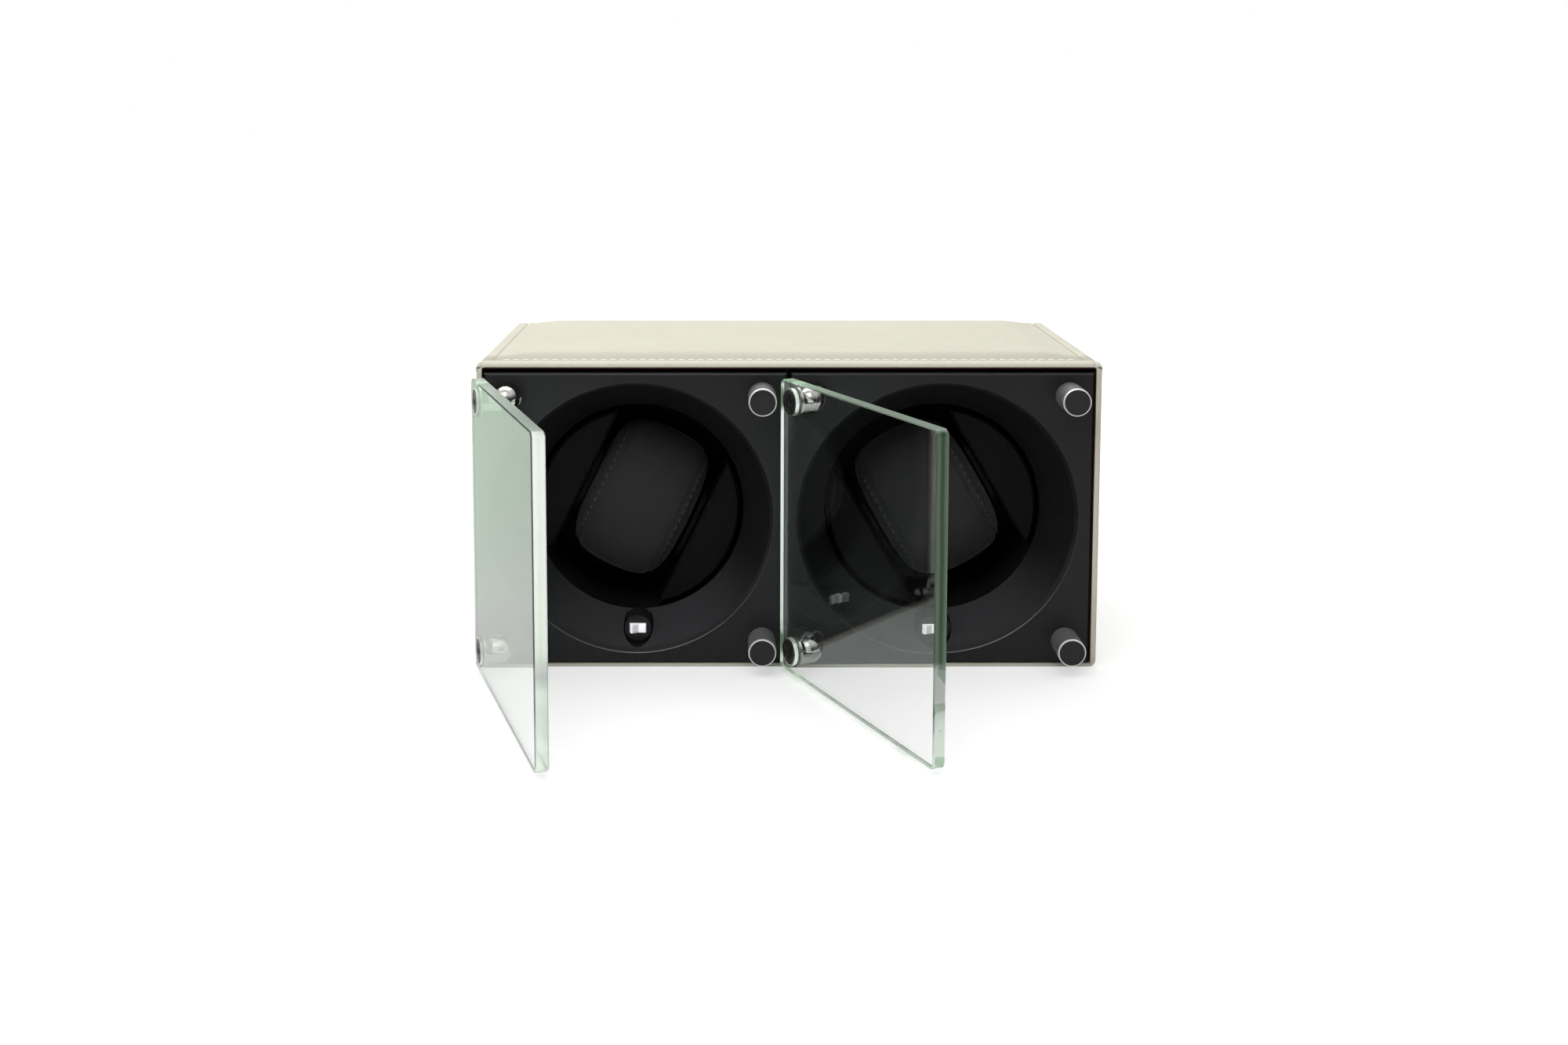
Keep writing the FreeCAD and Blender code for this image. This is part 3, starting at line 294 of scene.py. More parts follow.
def lid_height(x, y):
    """Height of the padded top at a place on it.

    z = top + crown * e(side) * e(front) * e(back) + front roll - crease - seam dip - puckers + slow waves"""
    inset = HALF_WIDTH - np.abs(x)
    behind = y - FRONT - SEAM_SETBACK
    padding = ease((inset - CREASE_INSET) / SHOULDER) * ease(behind / SEAM_SLOPE) * ease((BACK - y) / BACK_SHOULDER)
    crease = CREASE_DEPTH * hump(inset - CREASE_INSET, CREASE_WIDTH)
    crease *= ease((behind + CREASE_FADE / 2) / CREASE_FADE)
    inside = ease((inset - CREASE_INSET + CREASE_FADE / 2) / CREASE_FADE)
    seam = SEAM_DIP * hump(behind, SEAM_WIDTH) * inside
    puckers = PUCKER_DEPTH * np.cos(2.0 * math.pi * x / STITCH_PITCH) * hump(behind, PUCKER_REACH) * inside
    roll = ROLL_RISE * hump(y - FRONT - ROLL_SETBACK, ROLL_WIDTH)
    waves = WAVE_DEPTH * np.sin(x / WAVE_ACROSS + WAVE_ACROSS_START)
    waves *= np.sin(y / WAVE_ALONG + WAVE_ALONG_START)
    return LID_TOP + CROWN * padding + roll - crease - seam - puckers + waves * padding


def make_lid():
    """The padded top: lid_height lowered by the folds, z = h - (dx^4 + dy^4)^(1/4).

    A notch at each front corner parts the front fold from the side, and the rows crowd to the edges."""
    share = np.linspace(-1.0, 1.0, LID_COLUMNS)
    crowded = (1.0 + COLUMN_CROWDING) * share - COLUMN_CROWDING * share ** 3
    across = crowded * folded_length(HALF_WIDTH, SIDE_ROLL, SIDE_TAIL)
    x, drop_x = fold_over(np.abs(across), HALF_WIDTH, SIDE_ROLL)
    x = np.copysign(x, across)
    half = (BACK - FRONT) / 2
    middle = (BACK + FRONT) / 2
    front_share = 1.0 - np.linspace(0.0, 1.0, LID_FRONT_ROWS) ** ROW_CROWDING
    front_arcs = folded_length(half, FRONT_ROLL, 0.0) * front_share
    back_arcs = folded_length(half, BACK_ROLL, 0.0) * np.linspace(0.0, 1.0, LID_BACK_ROWS)[1:]
    front, front_drop = fold_over(front_arcs, half, FRONT_ROLL)
    back, back_drop = fold_over(back_arcs, half, BACK_ROLL)
    y = np.concatenate([middle - front, middle + back])
    drop_y = np.concatenate([front_drop, back_drop])
    grid_x, grid_y = np.meshgrid(x, y, indexing="ij")
    drop = (drop_x[:, None] ** CORNER_POWER + drop_y[None, :] ** CORNER_POWER) ** (1.0 / CORNER_POWER)
    notch = MITRE_DEPTH * hump(HALF_WIDTH - MITRE_INSET - np.abs(grid_x), MITRE_WIDTH)
    notch *= ease((FRONT + MITRE_REACH - grid_y) / MITRE_REACH)
    height = lid_height(grid_x, grid_y) - drop - MITRE_SINK * notch
    points = np.stack([grid_x, grid_y + notch, height], axis=-1)
    lid = lay_surfaces("leather_lid", points[None])
    thicken(lid, SKIN)
    settle(lid, "root", "leather", "leather_top")


def make_side(name, hand):
    """A side panel: a lip across the front, a rolled edge and a slightly bulging wall.

    The path runs along the lip, round a quarter circle and back along the wall, with
    x = hand * (place + bulge * e(up) * e(down) * e(ends) - foot round), and the lip reaches up to the
    front fold of the lid."""
    lip = np.linspace(0.0, LIP - SIDE_EDGE, LIP_POINTS)[:-1]
    turn = np.linspace(0.0, math.pi / 2, EDGE_POINTS)
    wall = np.linspace(FRONT + SIDE_EDGE, BACK, WALL_POINTS)[1:]
    start = HALF_WIDTH - LIP
    place = np.concatenate([start + lip, HALF_WIDTH - SIDE_EDGE * (1.0 - np.sin(turn)),
                            np.full(wall.size, HALF_WIDTH)])
    along = np.concatenate([np.full(lip.size, FRONT), FRONT + SIDE_EDGE * (1.0 - np.cos(turn)), wall])
    low = SIDE_FOOT
    high = LID_TOP - SIDE_ROLL - SIDE_TAIL
    rise = np.concatenate([low + FOOT_ROUND * np.linspace(0.0, 1.0, FOOT_POINTS)[:-1],
                           np.linspace(low + FOOT_ROUND, high, RISE_POINTS)])
    up = rise - low
    left = np.clip(1.0 - up / FOOT_ROUND, 0.0, 1.0)
    tuck = FOOT_TUCK * FOOT_ROUND * (1.0 - np.sqrt(1.0 - np.square(left)))
    swelling = SIDE_BULGE * ease(up / BULGE_FROM_FOOT) * ease((high - rise) / BULGE_FROM_LID)
    depth = ease((along - FRONT - SIDE_EDGE) / BULGE_FROM_ENDS) * ease((BACK - along) / BULGE_FROM_ENDS)
    outside = (place - start) / LIP
    x = hand * (place[:, None] + swelling[None, :] * depth[:, None] - tuck[None, :] * outside[:, None])
    y = np.broadcast_to(along[:, None], x.shape)
    lift = (SIDE_ROLL + SIDE_TAIL - FRONT_ROLL) * (1.0 - outside) * ease((FRONT + SIDE_EDGE - along) / SIDE_EDGE)
    z = rise[None, :] + lift[:, None] * ease((rise - high + LIP_REACH) / LIP_REACH)[None, :]
    points = np.stack([x, y, z], axis=-1)
    panel = lay_surfaces("leather_side_" + name, (points if hand > 0 else points[::-1])[None])
    thicken(panel, SKIN)
    settle(panel, "root", "leather", "leather_" + name)


def thread(centres, direction, up, length, radius, rise):
    """Stitches at centres: tubes bent as c(t) + rise * sqrt(1 - t^2) * up, radius r * (1 - t^4)^(1/2)."""
    share = np.sin(np.linspace(-1.0, 1.0, THREAD_STEPS) * math.pi / 2)
    angle = np.linspace(0.0, 2.0 * math.pi, THREAD_SIDES, endpoint=False)
    across = np.cross(up, direction)
    bow = rise * np.sqrt(np.clip(1.0 - share ** 2, 0.0, 1.0)) - radius
    width = radius * np.sqrt(np.clip(1.0 - share ** 4, 0.0, 1.0)) + THREAD_END
    line = (centres[:, None, :] + 0.5 * length * share[None, :, None] * direction[:, None, :]
            + bow[None, :, None] * up[:, None, :])
    round_about = (np.cos(angle)[None, None, :, None] * across[:, None, None, :]
                   + np.sin(angle)[None, None, :, None] * up[:, None, None, :])
    return line[:, :, None, :] + width[None, :, None, None] * round_about


def make_stitches():
    """The ivory row along the front seam, and the dark stitches along each crease."""
    half = HALF_WIDTH - CREASE_INSET - SEAM_END
    count = int(2.0 * half / STITCH_PITCH)
    x = (np.arange(count) - (count - 1) / 2) * STITCH_PITCH
    y = np.full(count, FRONT + SEAM_SETBACK)
    centres = np.stack([x, y, lid_height(x, y) + 0.5 * STITCH_RADIUS], axis=-1)
    along = np.tile([1.0, 0.0, 0.0], (count, 1))
    up = np.tile([0.0, 0.0, 1.0], (count, 1))
    row = thread(centres, along, up, STITCH_LENGTH, STITCH_RADIUS, STITCH_RISE)
    settle(lay_surfaces("seam_stitches", row, (False, True)), "root", "leather")
    near = np.arange(FRONT + SEAM_SETBACK + STITCH_PITCH, BACK - BACK_SHOULDER, STITCH_PITCH)
    x = np.repeat([HALF_WIDTH - CREASE_INSET, CREASE_INSET - HALF_WIDTH], near.size)
    y = np.tile(near, 2)
    centres = np.stack([x, y, lid_height(x, y)], axis=-1)
    along = np.tile([0.0, 1.0, 0.0], (x.size, 1))
    up = np.tile([0.0, 0.0, 1.0], (x.size, 1))
    dark = thread(centres, along, up, STITCH_LENGTH, CREASE_THREAD * STITCH_RADIUS, CREASE_RISE * STITCH_RISE)
    settle(lay_surfaces("crease_stitches", dark, (False, True)), "root", "leather")


def cushion_centre(name):
    """Middle of the space that the holder gives its cushion."""
    low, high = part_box(name + "_holder_cushion")
    return (np.array(low) + np.array(high)) / 2


def cushion_point(across, turn, name):
    """Point of the cushion's cover at a share across, from -1 to 1, and a turn about its width axis.

    A rounded barrel: radius share f = (1 - |s|^7)^(1/3.2) * (1 - draw s^2) - seam dips + slow creases."""
    centre = cushion_centre(name)
    lean = LEANS[name]
    wide = np.array([math.cos(lean), 0.0, -math.sin(lean)])
    tall = np.array([math.sin(lean), 0.0, math.cos(lean)])
    deep = np.array([0.0, -1.0, 0.0])
    fall = np.clip(1.0 - np.abs(across) ** CUSHION_ROUND, 0.0, 1.0) ** (1.0 / CUSHION_FALL)
    beside = np.abs(across) - CUSHION_SEAM
    seam = CUSHION_SEAM_DIP * hump(beside, CUSHION_SEAM_WIDTH)
    creases = CUSHION_CREASE * np.sin(CUSHION_CREASES * turn + CUSHION_CREASE_SLANT * across)
    creases *= hump(beside, CUSHION_CREASE_WIDTH)
    share = fall * (1.0 - CUSHION_DRAW * across ** 2 - seam + creases)
    return (centre + CUSHION_WIDTH * across[..., None] * wide
            + CUSHION_HEIGHT * (share * np.cos(turn))[..., None] * tall
            + CUSHION_DEPTH * (share * np.sin(turn))[..., None] * deep)


def make_cushion(name):
    """The padded cushion that fills the holder, with two stitched seams round it."""
    across = np.sin(np.linspace(-1.0, 1.0, CUSHION_COLUMNS) * math.pi / 2)
    turn = np.linspace(0.0, 2.0 * math.pi, CUSHION_ROWS, endpoint=False)
    grid = np.meshgrid(across, turn, indexing="ij")
    cover = lay_surfaces(name + "_padded_cushion", cushion_point(grid[0], grid[1], name)[None], (False, True))
    settle(cover, name + "_holder", "cushion_suede", name + "_holder_cushion")
    angles = np.linspace(0.0, 2.0 * math.pi, CUSHION_STITCHES, endpoint=False)
    middle = cushion_centre(name)
    rows = []
    step = 0.01
    for share in (-CUSHION_SEAM - CUSHION_STITCH_OUT, CUSHION_SEAM + CUSHION_STITCH_OUT):
        where = np.full(angles.size, share)
        centres = cushion_point(where, angles, name)
        along = cushion_point(where, angles + step, name) - centres
        along /= np.linalg.norm(along, axis=1)[:, None]
        side = cushion_point(where + step, angles, name) - centres
        out = np.cross(along, side)
        out /= np.linalg.norm(out, axis=1)[:, None]
        out *= np.sign(np.sum(out * (centres - middle), axis=1))[:, None]
        rows.append(thread(centres, along, out, CUSHION_STITCH_LENGTH, CUSHION_STITCH_RADIUS, CUSHION_STITCH_RISE))
    stitches = lay_surfaces(name + "_cushion_stitches", np.concatenate(rows), (False, True))
    settle(stitches, name + "_holder", "cushion_suede")


def door_axes(name):
    """Middle of a door's hinge pins, and the door's outward normal and width axis as it stands open."""
    joint = JOINTS[name + "_door_swing"]
    opening = -math.radians(joint["range_deg"][0])
    out = np.array([-math.sin(opening), -math.cos(opening), 0.0])
    across = np.array([math.cos(opening), -math.sin(opening), 0.0])
    return np.array(joint["pos_m"]), out, across


def make_screws(name):
    """Door screws with a six-lobe recess: rings whose radius is R (1 + a cos 6 t) in the recess."""
    pin, out, across = door_axes(name)
    upright = np.array([0.0, 0.0, 1.0])
    turn = np.linspace(0.0, 2.0 * math.pi, SCREW_POINTS, endpoint=False)
    lobes = LOBE_RADIUS * (1.0 + LOBE_SHARE * np.cos(LOBE_COUNT * turn))
    plain = np.ones(turn.size)
    rings = [(PINHOLE * lobes, -LOBE_DEPTH), (LOBE_FLOOR * lobes, -LOBE_DEPTH), (lobes, -LOBE_FOOT * LOBE_DEPTH),
             (lobes, -LOBE_EDGE), (lobes + LOBE_EDGE, 0.0), ((SCREW_HEAD - SCREW_BEVEL) * plain, 0.0),
             ((SCREW_HEAD - BEVEL_MIDDLE * SCREW_BEVEL) * plain, -BEVEL_MIDDLE * SCREW_BEVEL),
             (SCREW_HEAD * plain, -SCREW_BEVEL),
             (SCREW_HEAD * plain, -SCREW_THICK), (SCREW_SHANK * plain, -SCREW_THICK),
             (SCREW_SHANK * plain, -SCREW_REACH), (PINHOLE * SCREW_SHANK * plain, -SCREW_REACH)]
    radius = np.stack([ring for ring, _ in rings])
    depth = np.array([place for _, place in rings])
    grids = []
    for level in (-POST_HEIGHT, POST_HEIGHT):
        centre = pin + level * upright + SCREW_FACE * out
        grids.append(centre + depth[:, None, None] * out
                     + (radius * np.cos(turn))[..., None] * across + (radius * np.sin(turn))[..., None] * upright)
    screws = lay_surfaces(name + "_six_lobe_screws", np.stack(grids)[:, ::-1], (False, True))
    settle(screws, name + "_door", "black_steel", name + "_glass_screws")


def make_rocker(name):
    """The clear rocker: a rounded key, w = b + (f(u) - b) * ((1 - u^10) (1 - v^10))^(1/4).

    Its front f(u) dips to the middle, and the key is tipped about the upright through its pivot."""
    pivot = np.array(JOINTS[name + "_switch_tip"]["pos_m"])
    share = np.sin(np.linspace(-1.0, 1.0, ROCKER_POINTS) * math.pi / 2)
    u, v = np.meshgrid(share, share, indexing="ij")
    front = ROCKER_RISE - ROCKER_DIP * (1.0 - np.sqrt(np.square(u) + ROCKER_VALLEY))
    edge = np.clip(1.0 - u ** ROCKER_SQUARE, 0.0, 1.0) * np.clip(1.0 - v ** ROCKER_SQUARE, 0.0, 1.0)
    edge = edge ** ROCKER_ROUND
    ahead = (front + ROCKER_FOOT) * edge - ROCKER_FOOT
    across = ROCKER_LENGTH * u
    x = pivot[0] + across * math.cos(ROCKER_TILT) + ahead * math.sin(ROCKER_TILT)
    y = pivot[1] + across * math.sin(ROCKER_TILT) - ahead * math.cos(ROCKER_TILT)
    points = np.stack([x, y, pivot[2] + ROCKER_HEIGHT * v], axis=-1)
    rocker = lay_surfaces(name + "_rocker_key", points[None])
    settle(rocker, name + "_rocker", "clear_plastic", name + "_switch_rocker")


class Tree:
    """A node tree that is filled node by node."""

    def __init__(self, tree):
        self.nodes = tree.nodes
        self.links = tree.links

    def feed(self, socket, value):
        """Link a socket to another one, or set it to a value."""
        if isinstance(value, bpy.types.NodeSocket):
            self.links.new(value, socket)
        else:
            socket.default_value = value

    def add(self, kind, inputs=None, **settings):
        """One node, its settings, and its inputs linked to sockets or set to values."""
        node = self.nodes.new(kind)
        for key, value in settings.items():
            setattr(node, key, value)
        for key, value in (inputs or {}).items():
            self.feed(node.inputs[key], value)
        return node

    def math(self, operation, first, second):
        """The result of a sum on two values."""
        return self.add("ShaderNodeMath", {0: first, 1: second}, operation=operation).outputs[0]

    def mix(self, share, first, second):
        """A colour between two colours."""
        return self.add("ShaderNodeMix", {0: share, 6: first, 7: second}, data_type="RGBA").outputs[2]

    def fit(self, value, low, high):
        """A value from 0 to 1 spread over a range."""
        return self.span(value, 0.0, 1.0, low, high)

    def span(self, value, start, end, low=0.0, high=1.0, kind="LINEAR"):
        """A value between two bounds spread over a range, and held at its ends."""
        inputs = {"Value": value, "From Min": start, "From Max": end, "To Min": low, "To Max": high}
        return self.add("ShaderNodeMapRange", inputs, interpolation_type=kind).outputs["Result"]

    def normal(self):
        """The three parts of the surface's own normal."""
        return self.add("ShaderNodeSeparateXYZ", {0: self.add("ShaderNodeTexCoord").outputs["Normal"]}).outputs


def new_group(name, inputs, outputs):
    """A node group with value inputs, each with its usual value, and outputs."""
    group = bpy.data.node_groups.new(name, "ShaderNodeTree")
    for label, usual in inputs:
        socket = group.interface.new_socket(label, in_out="INPUT", socket_type="NodeSocketFloat")
        socket.default_value = usual
    for label, kind in outputs:
        group.interface.new_socket(label, in_out="OUTPUT", socket_type=kind)
    tree = Tree(group)
    start = tree.add("NodeGroupInput")
    end = tree.add("NodeGroupOutput")
    return group, tree, start, end


def make_speckle():
    """Fine speckle and slow smudges of a moulded or coated face, and the normal that the speckle gives it."""
    group, tree, start, end = new_group(
        "speckle_and_smudge", [("Scale", 900.0), ("Relief", 0.1)],
        [("Speckle", "NodeSocketFloat"), ("Smudge", "NodeSocketFloat"), ("Normal", "NodeSocketVector")])
    place = tree.add("ShaderNodeTexCoord").outputs["Object"]
    fine = tree.add("ShaderNodeTexNoise", {"Vector": place, "Scale": start.outputs["Scale"], "Detail": 2.0})
    slow = tree.add("ShaderNodeTexNoise", {"Vector": place, "Scale": 35.0, "Detail": 4.0, "Roughness": 0.6})
    bump = tree.add("ShaderNodeBump", {"Strength": start.outputs["Relief"], "Distance": 0.0002,
                                       "Height": fine.outputs["Fac"]})
    tree.links.new(fine.outputs["Fac"], end.inputs["Speckle"])
    tree.links.new(slow.outputs["Fac"], end.inputs["Smudge"])
    tree.links.new(bump.outputs["Normal"], end.inputs["Normal"])
    return group


def make_hide():
    """Leather grain: cells of a Voronoi pattern bent by noise, with the mottle of the tanning."""
    group, tree, start, end = new_group(
        "hide_grain", [("Scale", 1500.0), ("Relief", 0.35)],
        [("Grain", "NodeSocketFloat"), ("Mottle", "NodeSocketFloat"), ("Normal", "NodeSocketVector")])
    place = tree.add("ShaderNodeTexCoord").outputs["Object"]
    bend = tree.add("ShaderNodeTexNoise", {"Vector": place, "Scale": 400.0, "Detail": 2.0})
    shift = tree.add("ShaderNodeVectorMath", {0: bend.outputs["Color"], "Scale": 0.0012}, operation="SCALE")
    bent = tree.add("ShaderNodeVectorMath", {0: place, 1: shift.outputs[0]}, operation="ADD")
    cells = tree.add("ShaderNodeTexVoronoi", {"Vector": bent.outputs[0], "Scale": start.outputs["Scale"]},
                     feature="DISTANCE_TO_EDGE")
    pebble = tree.span(cells.outputs["Distance"], 0.0, 0.25)
    pores = tree.add("ShaderNodeTexNoise", {"Vector": place, "Scale": 700.0, "Detail": 3.0})
    grain = tree.math("ADD", tree.math("MULTIPLY", pebble, 0.6),
                      tree.math("MULTIPLY", pores.outputs["Fac"], 0.4))
    mottle = tree.add("ShaderNodeTexNoise", {"Vector": place, "Scale": 60.0, "Detail": 5.0})
    bump = tree.add("ShaderNodeBump", {"Strength": start.outputs["Relief"], "Distance": 0.0002, "Height": grain})
    tree.links.new(grain, end.inputs["Grain"])
    tree.links.new(mottle.outputs["Fac"], end.inputs["Mottle"])
    tree.links.new(bump.outputs["Normal"], end.inputs["Normal"])
    return group


def make_turning():
    """Fine rings that a lathe leaves round an axis along y, as a value and a normal."""
    group, tree, start, end = new_group(
        "turning_marks", [("Scale", 2500.0), ("Relief", 0.12)],
        [("Rings", "NodeSocketFloat"), ("Normal", "NodeSocketVector")])
    place = tree.add("ShaderNodeTexCoord").outputs["Object"]
    squeeze = tree.add("ShaderNodeMapping", {"Vector": place, "Scale": (0.02, 1.0, 0.02)})
    rings = tree.add("ShaderNodeTexNoise", {"Vector": squeeze.outputs[0], "Scale": start.outputs["Scale"],
                                            "Detail": 2.0})
    bump = tree.add("ShaderNodeBump", {"Strength": start.outputs["Relief"], "Distance": 0.0001,
                                       "Height": rings.outputs["Fac"]})
    tree.links.new(rings.outputs["Fac"], end.inputs["Rings"])
    tree.links.new(bump.outputs["Normal"], end.inputs["Normal"])
    return group


SPECKLE = make_speckle()
HIDE = make_hide()
TURNING = make_turning()


def empty_tree(owner):
    """The node tree of a material or a world, with nothing in it."""
    owner.use_nodes = True
    owner.node_tree.nodes.clear()
    return Tree(owner.node_tree)


def new_material(name):
    """A material with a Principled shader, and its tree."""
    material = bpy.data.materials.new(name)
    tree = empty_tree(material)
    shader = tree.add("ShaderNodeBsdfPrincipled")
    tree.add("ShaderNodeOutputMaterial", {"Surface": shader.outputs[0]})
    return material, tree, shader


def use(tree, group, **inputs):
    """A shared group in a material, with its inputs set."""
    return tree.add("ShaderNodeGroup", inputs, node_tree=group).outputs


def wire(tree, shader, **inputs):
    """Link or set inputs of a shader, named with underscores for spaces."""
    for label, value in inputs.items():
        tree.feed(shader.inputs[label.replace("_", " ")], value)


def coated(name, dark, light, rough, scale=900.0, relief=0.1, **inputs):
    """A speckled face: the colour varies with the speckle, the roughness with the smudges."""
    material, tree, shader = new_material(name)
    marks = use(tree, SPECKLE, Scale=scale, Relief=relief)
    colour = tree.mix(marks["Speckle"], (*dark, 1.0), (*light, 1.0))
    roughness = tree.fit(marks["Smudge"], rough[0], rough[1])
    wire(tree, shader, Base_Color=colour, Roughness=roughness, Normal=marks["Normal"], **inputs)
    return material


def turned(name, dark, light, rough, scale=2500.0, relief=0.12):
    """A turned metal: colour and roughness vary with the lathe's rings."""
    material, tree, shader = new_material(name)
    marks = use(tree, TURNING, Scale=scale, Relief=relief)
    colour = tree.mix(marks["Rings"], (*dark, 1.0), (*light, 1.0))
    roughness = tree.fit(marks["Rings"], rough[0], rough[1])
    wire(tree, shader, Base_Color=colour, Roughness=roughness, Normal=marks["Normal"], Metallic=1.0)
    return material


def make_leather(name, dark, light):
    """Grained leather, darker in the grain's valleys, with painted shade in a band on the lid just behind the front
    seam.
    """
    material, tree, shader = new_material(name)
    marks = use(tree, HIDE)
    share = tree.math("ADD", tree.math("MULTIPLY", marks["Grain"], 0.6), tree.math("MULTIPLY", marks["Mottle"], 0.4))
    colour = tree.mix(share, (*dark, 1.0), (*light, 1.0))
    place = tree.add("ShaderNodeSeparateXYZ", {0: tree.add("ShaderNodeTexCoord").outputs["Object"]}).outputs
    behind = tree.math("SUBTRACT", place["Y"], FRONT + SEAM_SETBACK)
    beside = tree.math("ABSOLUTE", tree.math("SUBTRACT", behind, SEAM_SHADE_BEHIND), 0.0)
    on_top = tree.span(tree.normal()["Z"], 0.3, 0.8)
    # painted shade: a darker band on the lid behind the front seam, only where the normal looks up
    painted_seam_shade = tree.span(beside, 0.0, SEAM_SHADE_WIDTH, 0.9, 0.0, "SMOOTHSTEP")
    colour = tree.mix(tree.math("MULTIPLY", painted_seam_shade, on_top), colour, (*(0.8 * shade for shade in dark), 1.0))
    wire(tree, shader, Base_Color=colour, Roughness=tree.fit(marks["Grain"], 0.62, 0.48), Normal=marks["Normal"],
         Specular_IOR_Level=0.35)
    return material


def make_glass(name, deep, pale, painted_foot_face, painted_glow_shares):
    """Float glass of one door: clear faces that tint green when seen along them, and green edges with painted bands.

    The share of edge is 1 - e(|N . n|), with n the normal of the door as it stands open, and the painted bands
    of light and shade run along the edge by P . n, the depth through the pane. Painted light of the floor makes
    the glass paler towards a line that climbs from the foot of the case, z = slope * (front - y), and below it.
    The edge also has a painted highlight on top, painted patches near the foot, and a painted glow, from the
    first of two shares to the second where the painted light is."""
    pin, pane, _ = door_axes(name)
    material, tree, shader = new_material(name + "_door_glass")
    marks = use(tree, SPECKLE, Scale=300.0, Relief=0.0)
    coordinates = tree.add("ShaderNodeTexCoord").outputs
    facing = tree.add("ShaderNodeVectorMath", {0: coordinates["Normal"], 1: tuple(pane)}, operation="DOT_PRODUCT")
    square = tree.math("ABSOLUTE", facing.outputs["Value"], 0.0)
    edge = tree.span(square, 0.6, 0.95, 1.0, 0.0, "SMOOTHSTEP")
    depth = tree.add("ShaderNodeVectorMath", {0: coordinates["Object"], 1: tuple(pane)}, operation="DOT_PRODUCT")
    inner = float(np.dot(pin, pane)) + GLASS_INNER
    through = tree.span(depth.outputs["Value"], inner, inner + GLASS_THICK)
    wander = tree.math("ADD", through, tree.fit(marks["Smudge"], -EDGE_WANDER, EDGE_WANDER))
    # painted reflection: light and dark bands through the edge's depth
    bands = tree.math("SINE", tree.math("MULTIPLY", wander, PAINTED_EDGE_BANDS), 0.0)
    green = tree.mix(tree.span(bands, -1.0, 1.0), (*deep, 1.0), (*pale, 1.0))
    place = tree.add("ShaderNodeSeparateXYZ", {0: coordinates["Object"]}).outputs
    # painted light of the floor: paler below a line up from the case's foot, and towards it
    line = tree.math("MULTIPLY", tree.math("SUBTRACT", FRONT, place["Y"]), FOOT_SLOPE)
    below = tree.math("SUBTRACT", line, place["Z"])
    foot = tree.span(below, -FOOT_BLUR, FOOT_BLUR, kind="SMOOTHSTEP")
    lower = tree.span(below, -PAINTED_LIGHT_REACH, 0.0, kind="SMOOTHSTEP")
    # painted patches of the floor's light near the foot
    cells = tree.add("ShaderNodeTexVoronoi", {"Vector": coordinates["Object"], "Scale": PAINTED_PATCH_SCALE})
    patch = tree.span(cells.outputs["Color"], 0.55, 0.75)
    middling = tuple(0.5 * (first + second) for first, second in zip(deep, pale))
    green = tree.mix(foot, green, tree.mix(patch, PAINTED_FOOT_PATCH, (*middling, 1.0)))
    # painted highlight: the edge paler where it looks up
    top = tree.span(tree.normal()["Z"], 0.5, 0.9, 0.0, 0.75)
    green = tree.mix(top, green, PAINTED_TOP_EDGE_LIGHT)
    grazing = tree.add("ShaderNodeLayerWeight", {"Blend": 0.5}).outputs["Facing"]
    along = tree.span(grazing, 0.58, 0.84, kind="SMOOTHSTEP")
    tint = tree.mix(foot, tree.mix(lower, GRAZING_FACE, GRAZING_PAINTED_LOW), GRAZING_PAINTED_FOOT)
    clear = tree.mix(along, tree.mix(foot, CLEAR_FACE, (*painted_foot_face, 1.0)), tint)
    # painted glow on the edges, stronger where the painted light is
    painted_light = tree.math("MAXIMUM", foot, top)
    glow = tree.math("MULTIPLY", edge, tree.fit(painted_light, *painted_glow_shares))
    wire(tree, shader, Base_Color=tree.mix(edge, clear, green), IOR=1.5, Transmission_Weight=1.0,
         Emission_Color=tree.mix(glow, (0.0, 0.0, 0.0, 1.0), green), Emission_Strength=1.0,
         Roughness=tree.math("ADD", tree.math("MULTIPLY", edge, 0.3), tree.fit(marks["Smudge"], 0.0, 0.015)),
         Specular_Tint=(0.86, 0.95, 0.87, 1.0))
    return material


def make_board():
    """Raw board: fibres along the sleeve, dark reddish brown."""
    material, tree, shader = new_material("fibre_board")
    place = tree.add("ShaderNodeTexCoord").outputs["Object"]
    squeeze = tree.add("ShaderNodeMapping", {"Vector": place, "Scale": (0.15, 1.0, 1.0)})
    fibres = tree.add("ShaderNodeTexNoise", {"Vector": squeeze.outputs[0], "Scale": 1400.0, "Detail": 4.0})
    colour = tree.mix(fibres.outputs["Fac"], (0.105, 0.040, 0.032, 1.0), (0.19, 0.080, 0.064, 1.0))
    wire(tree, shader, Base_Color=colour, Roughness=tree.fit(fibres.outputs["Fac"], 0.7, 0.9))
    return material


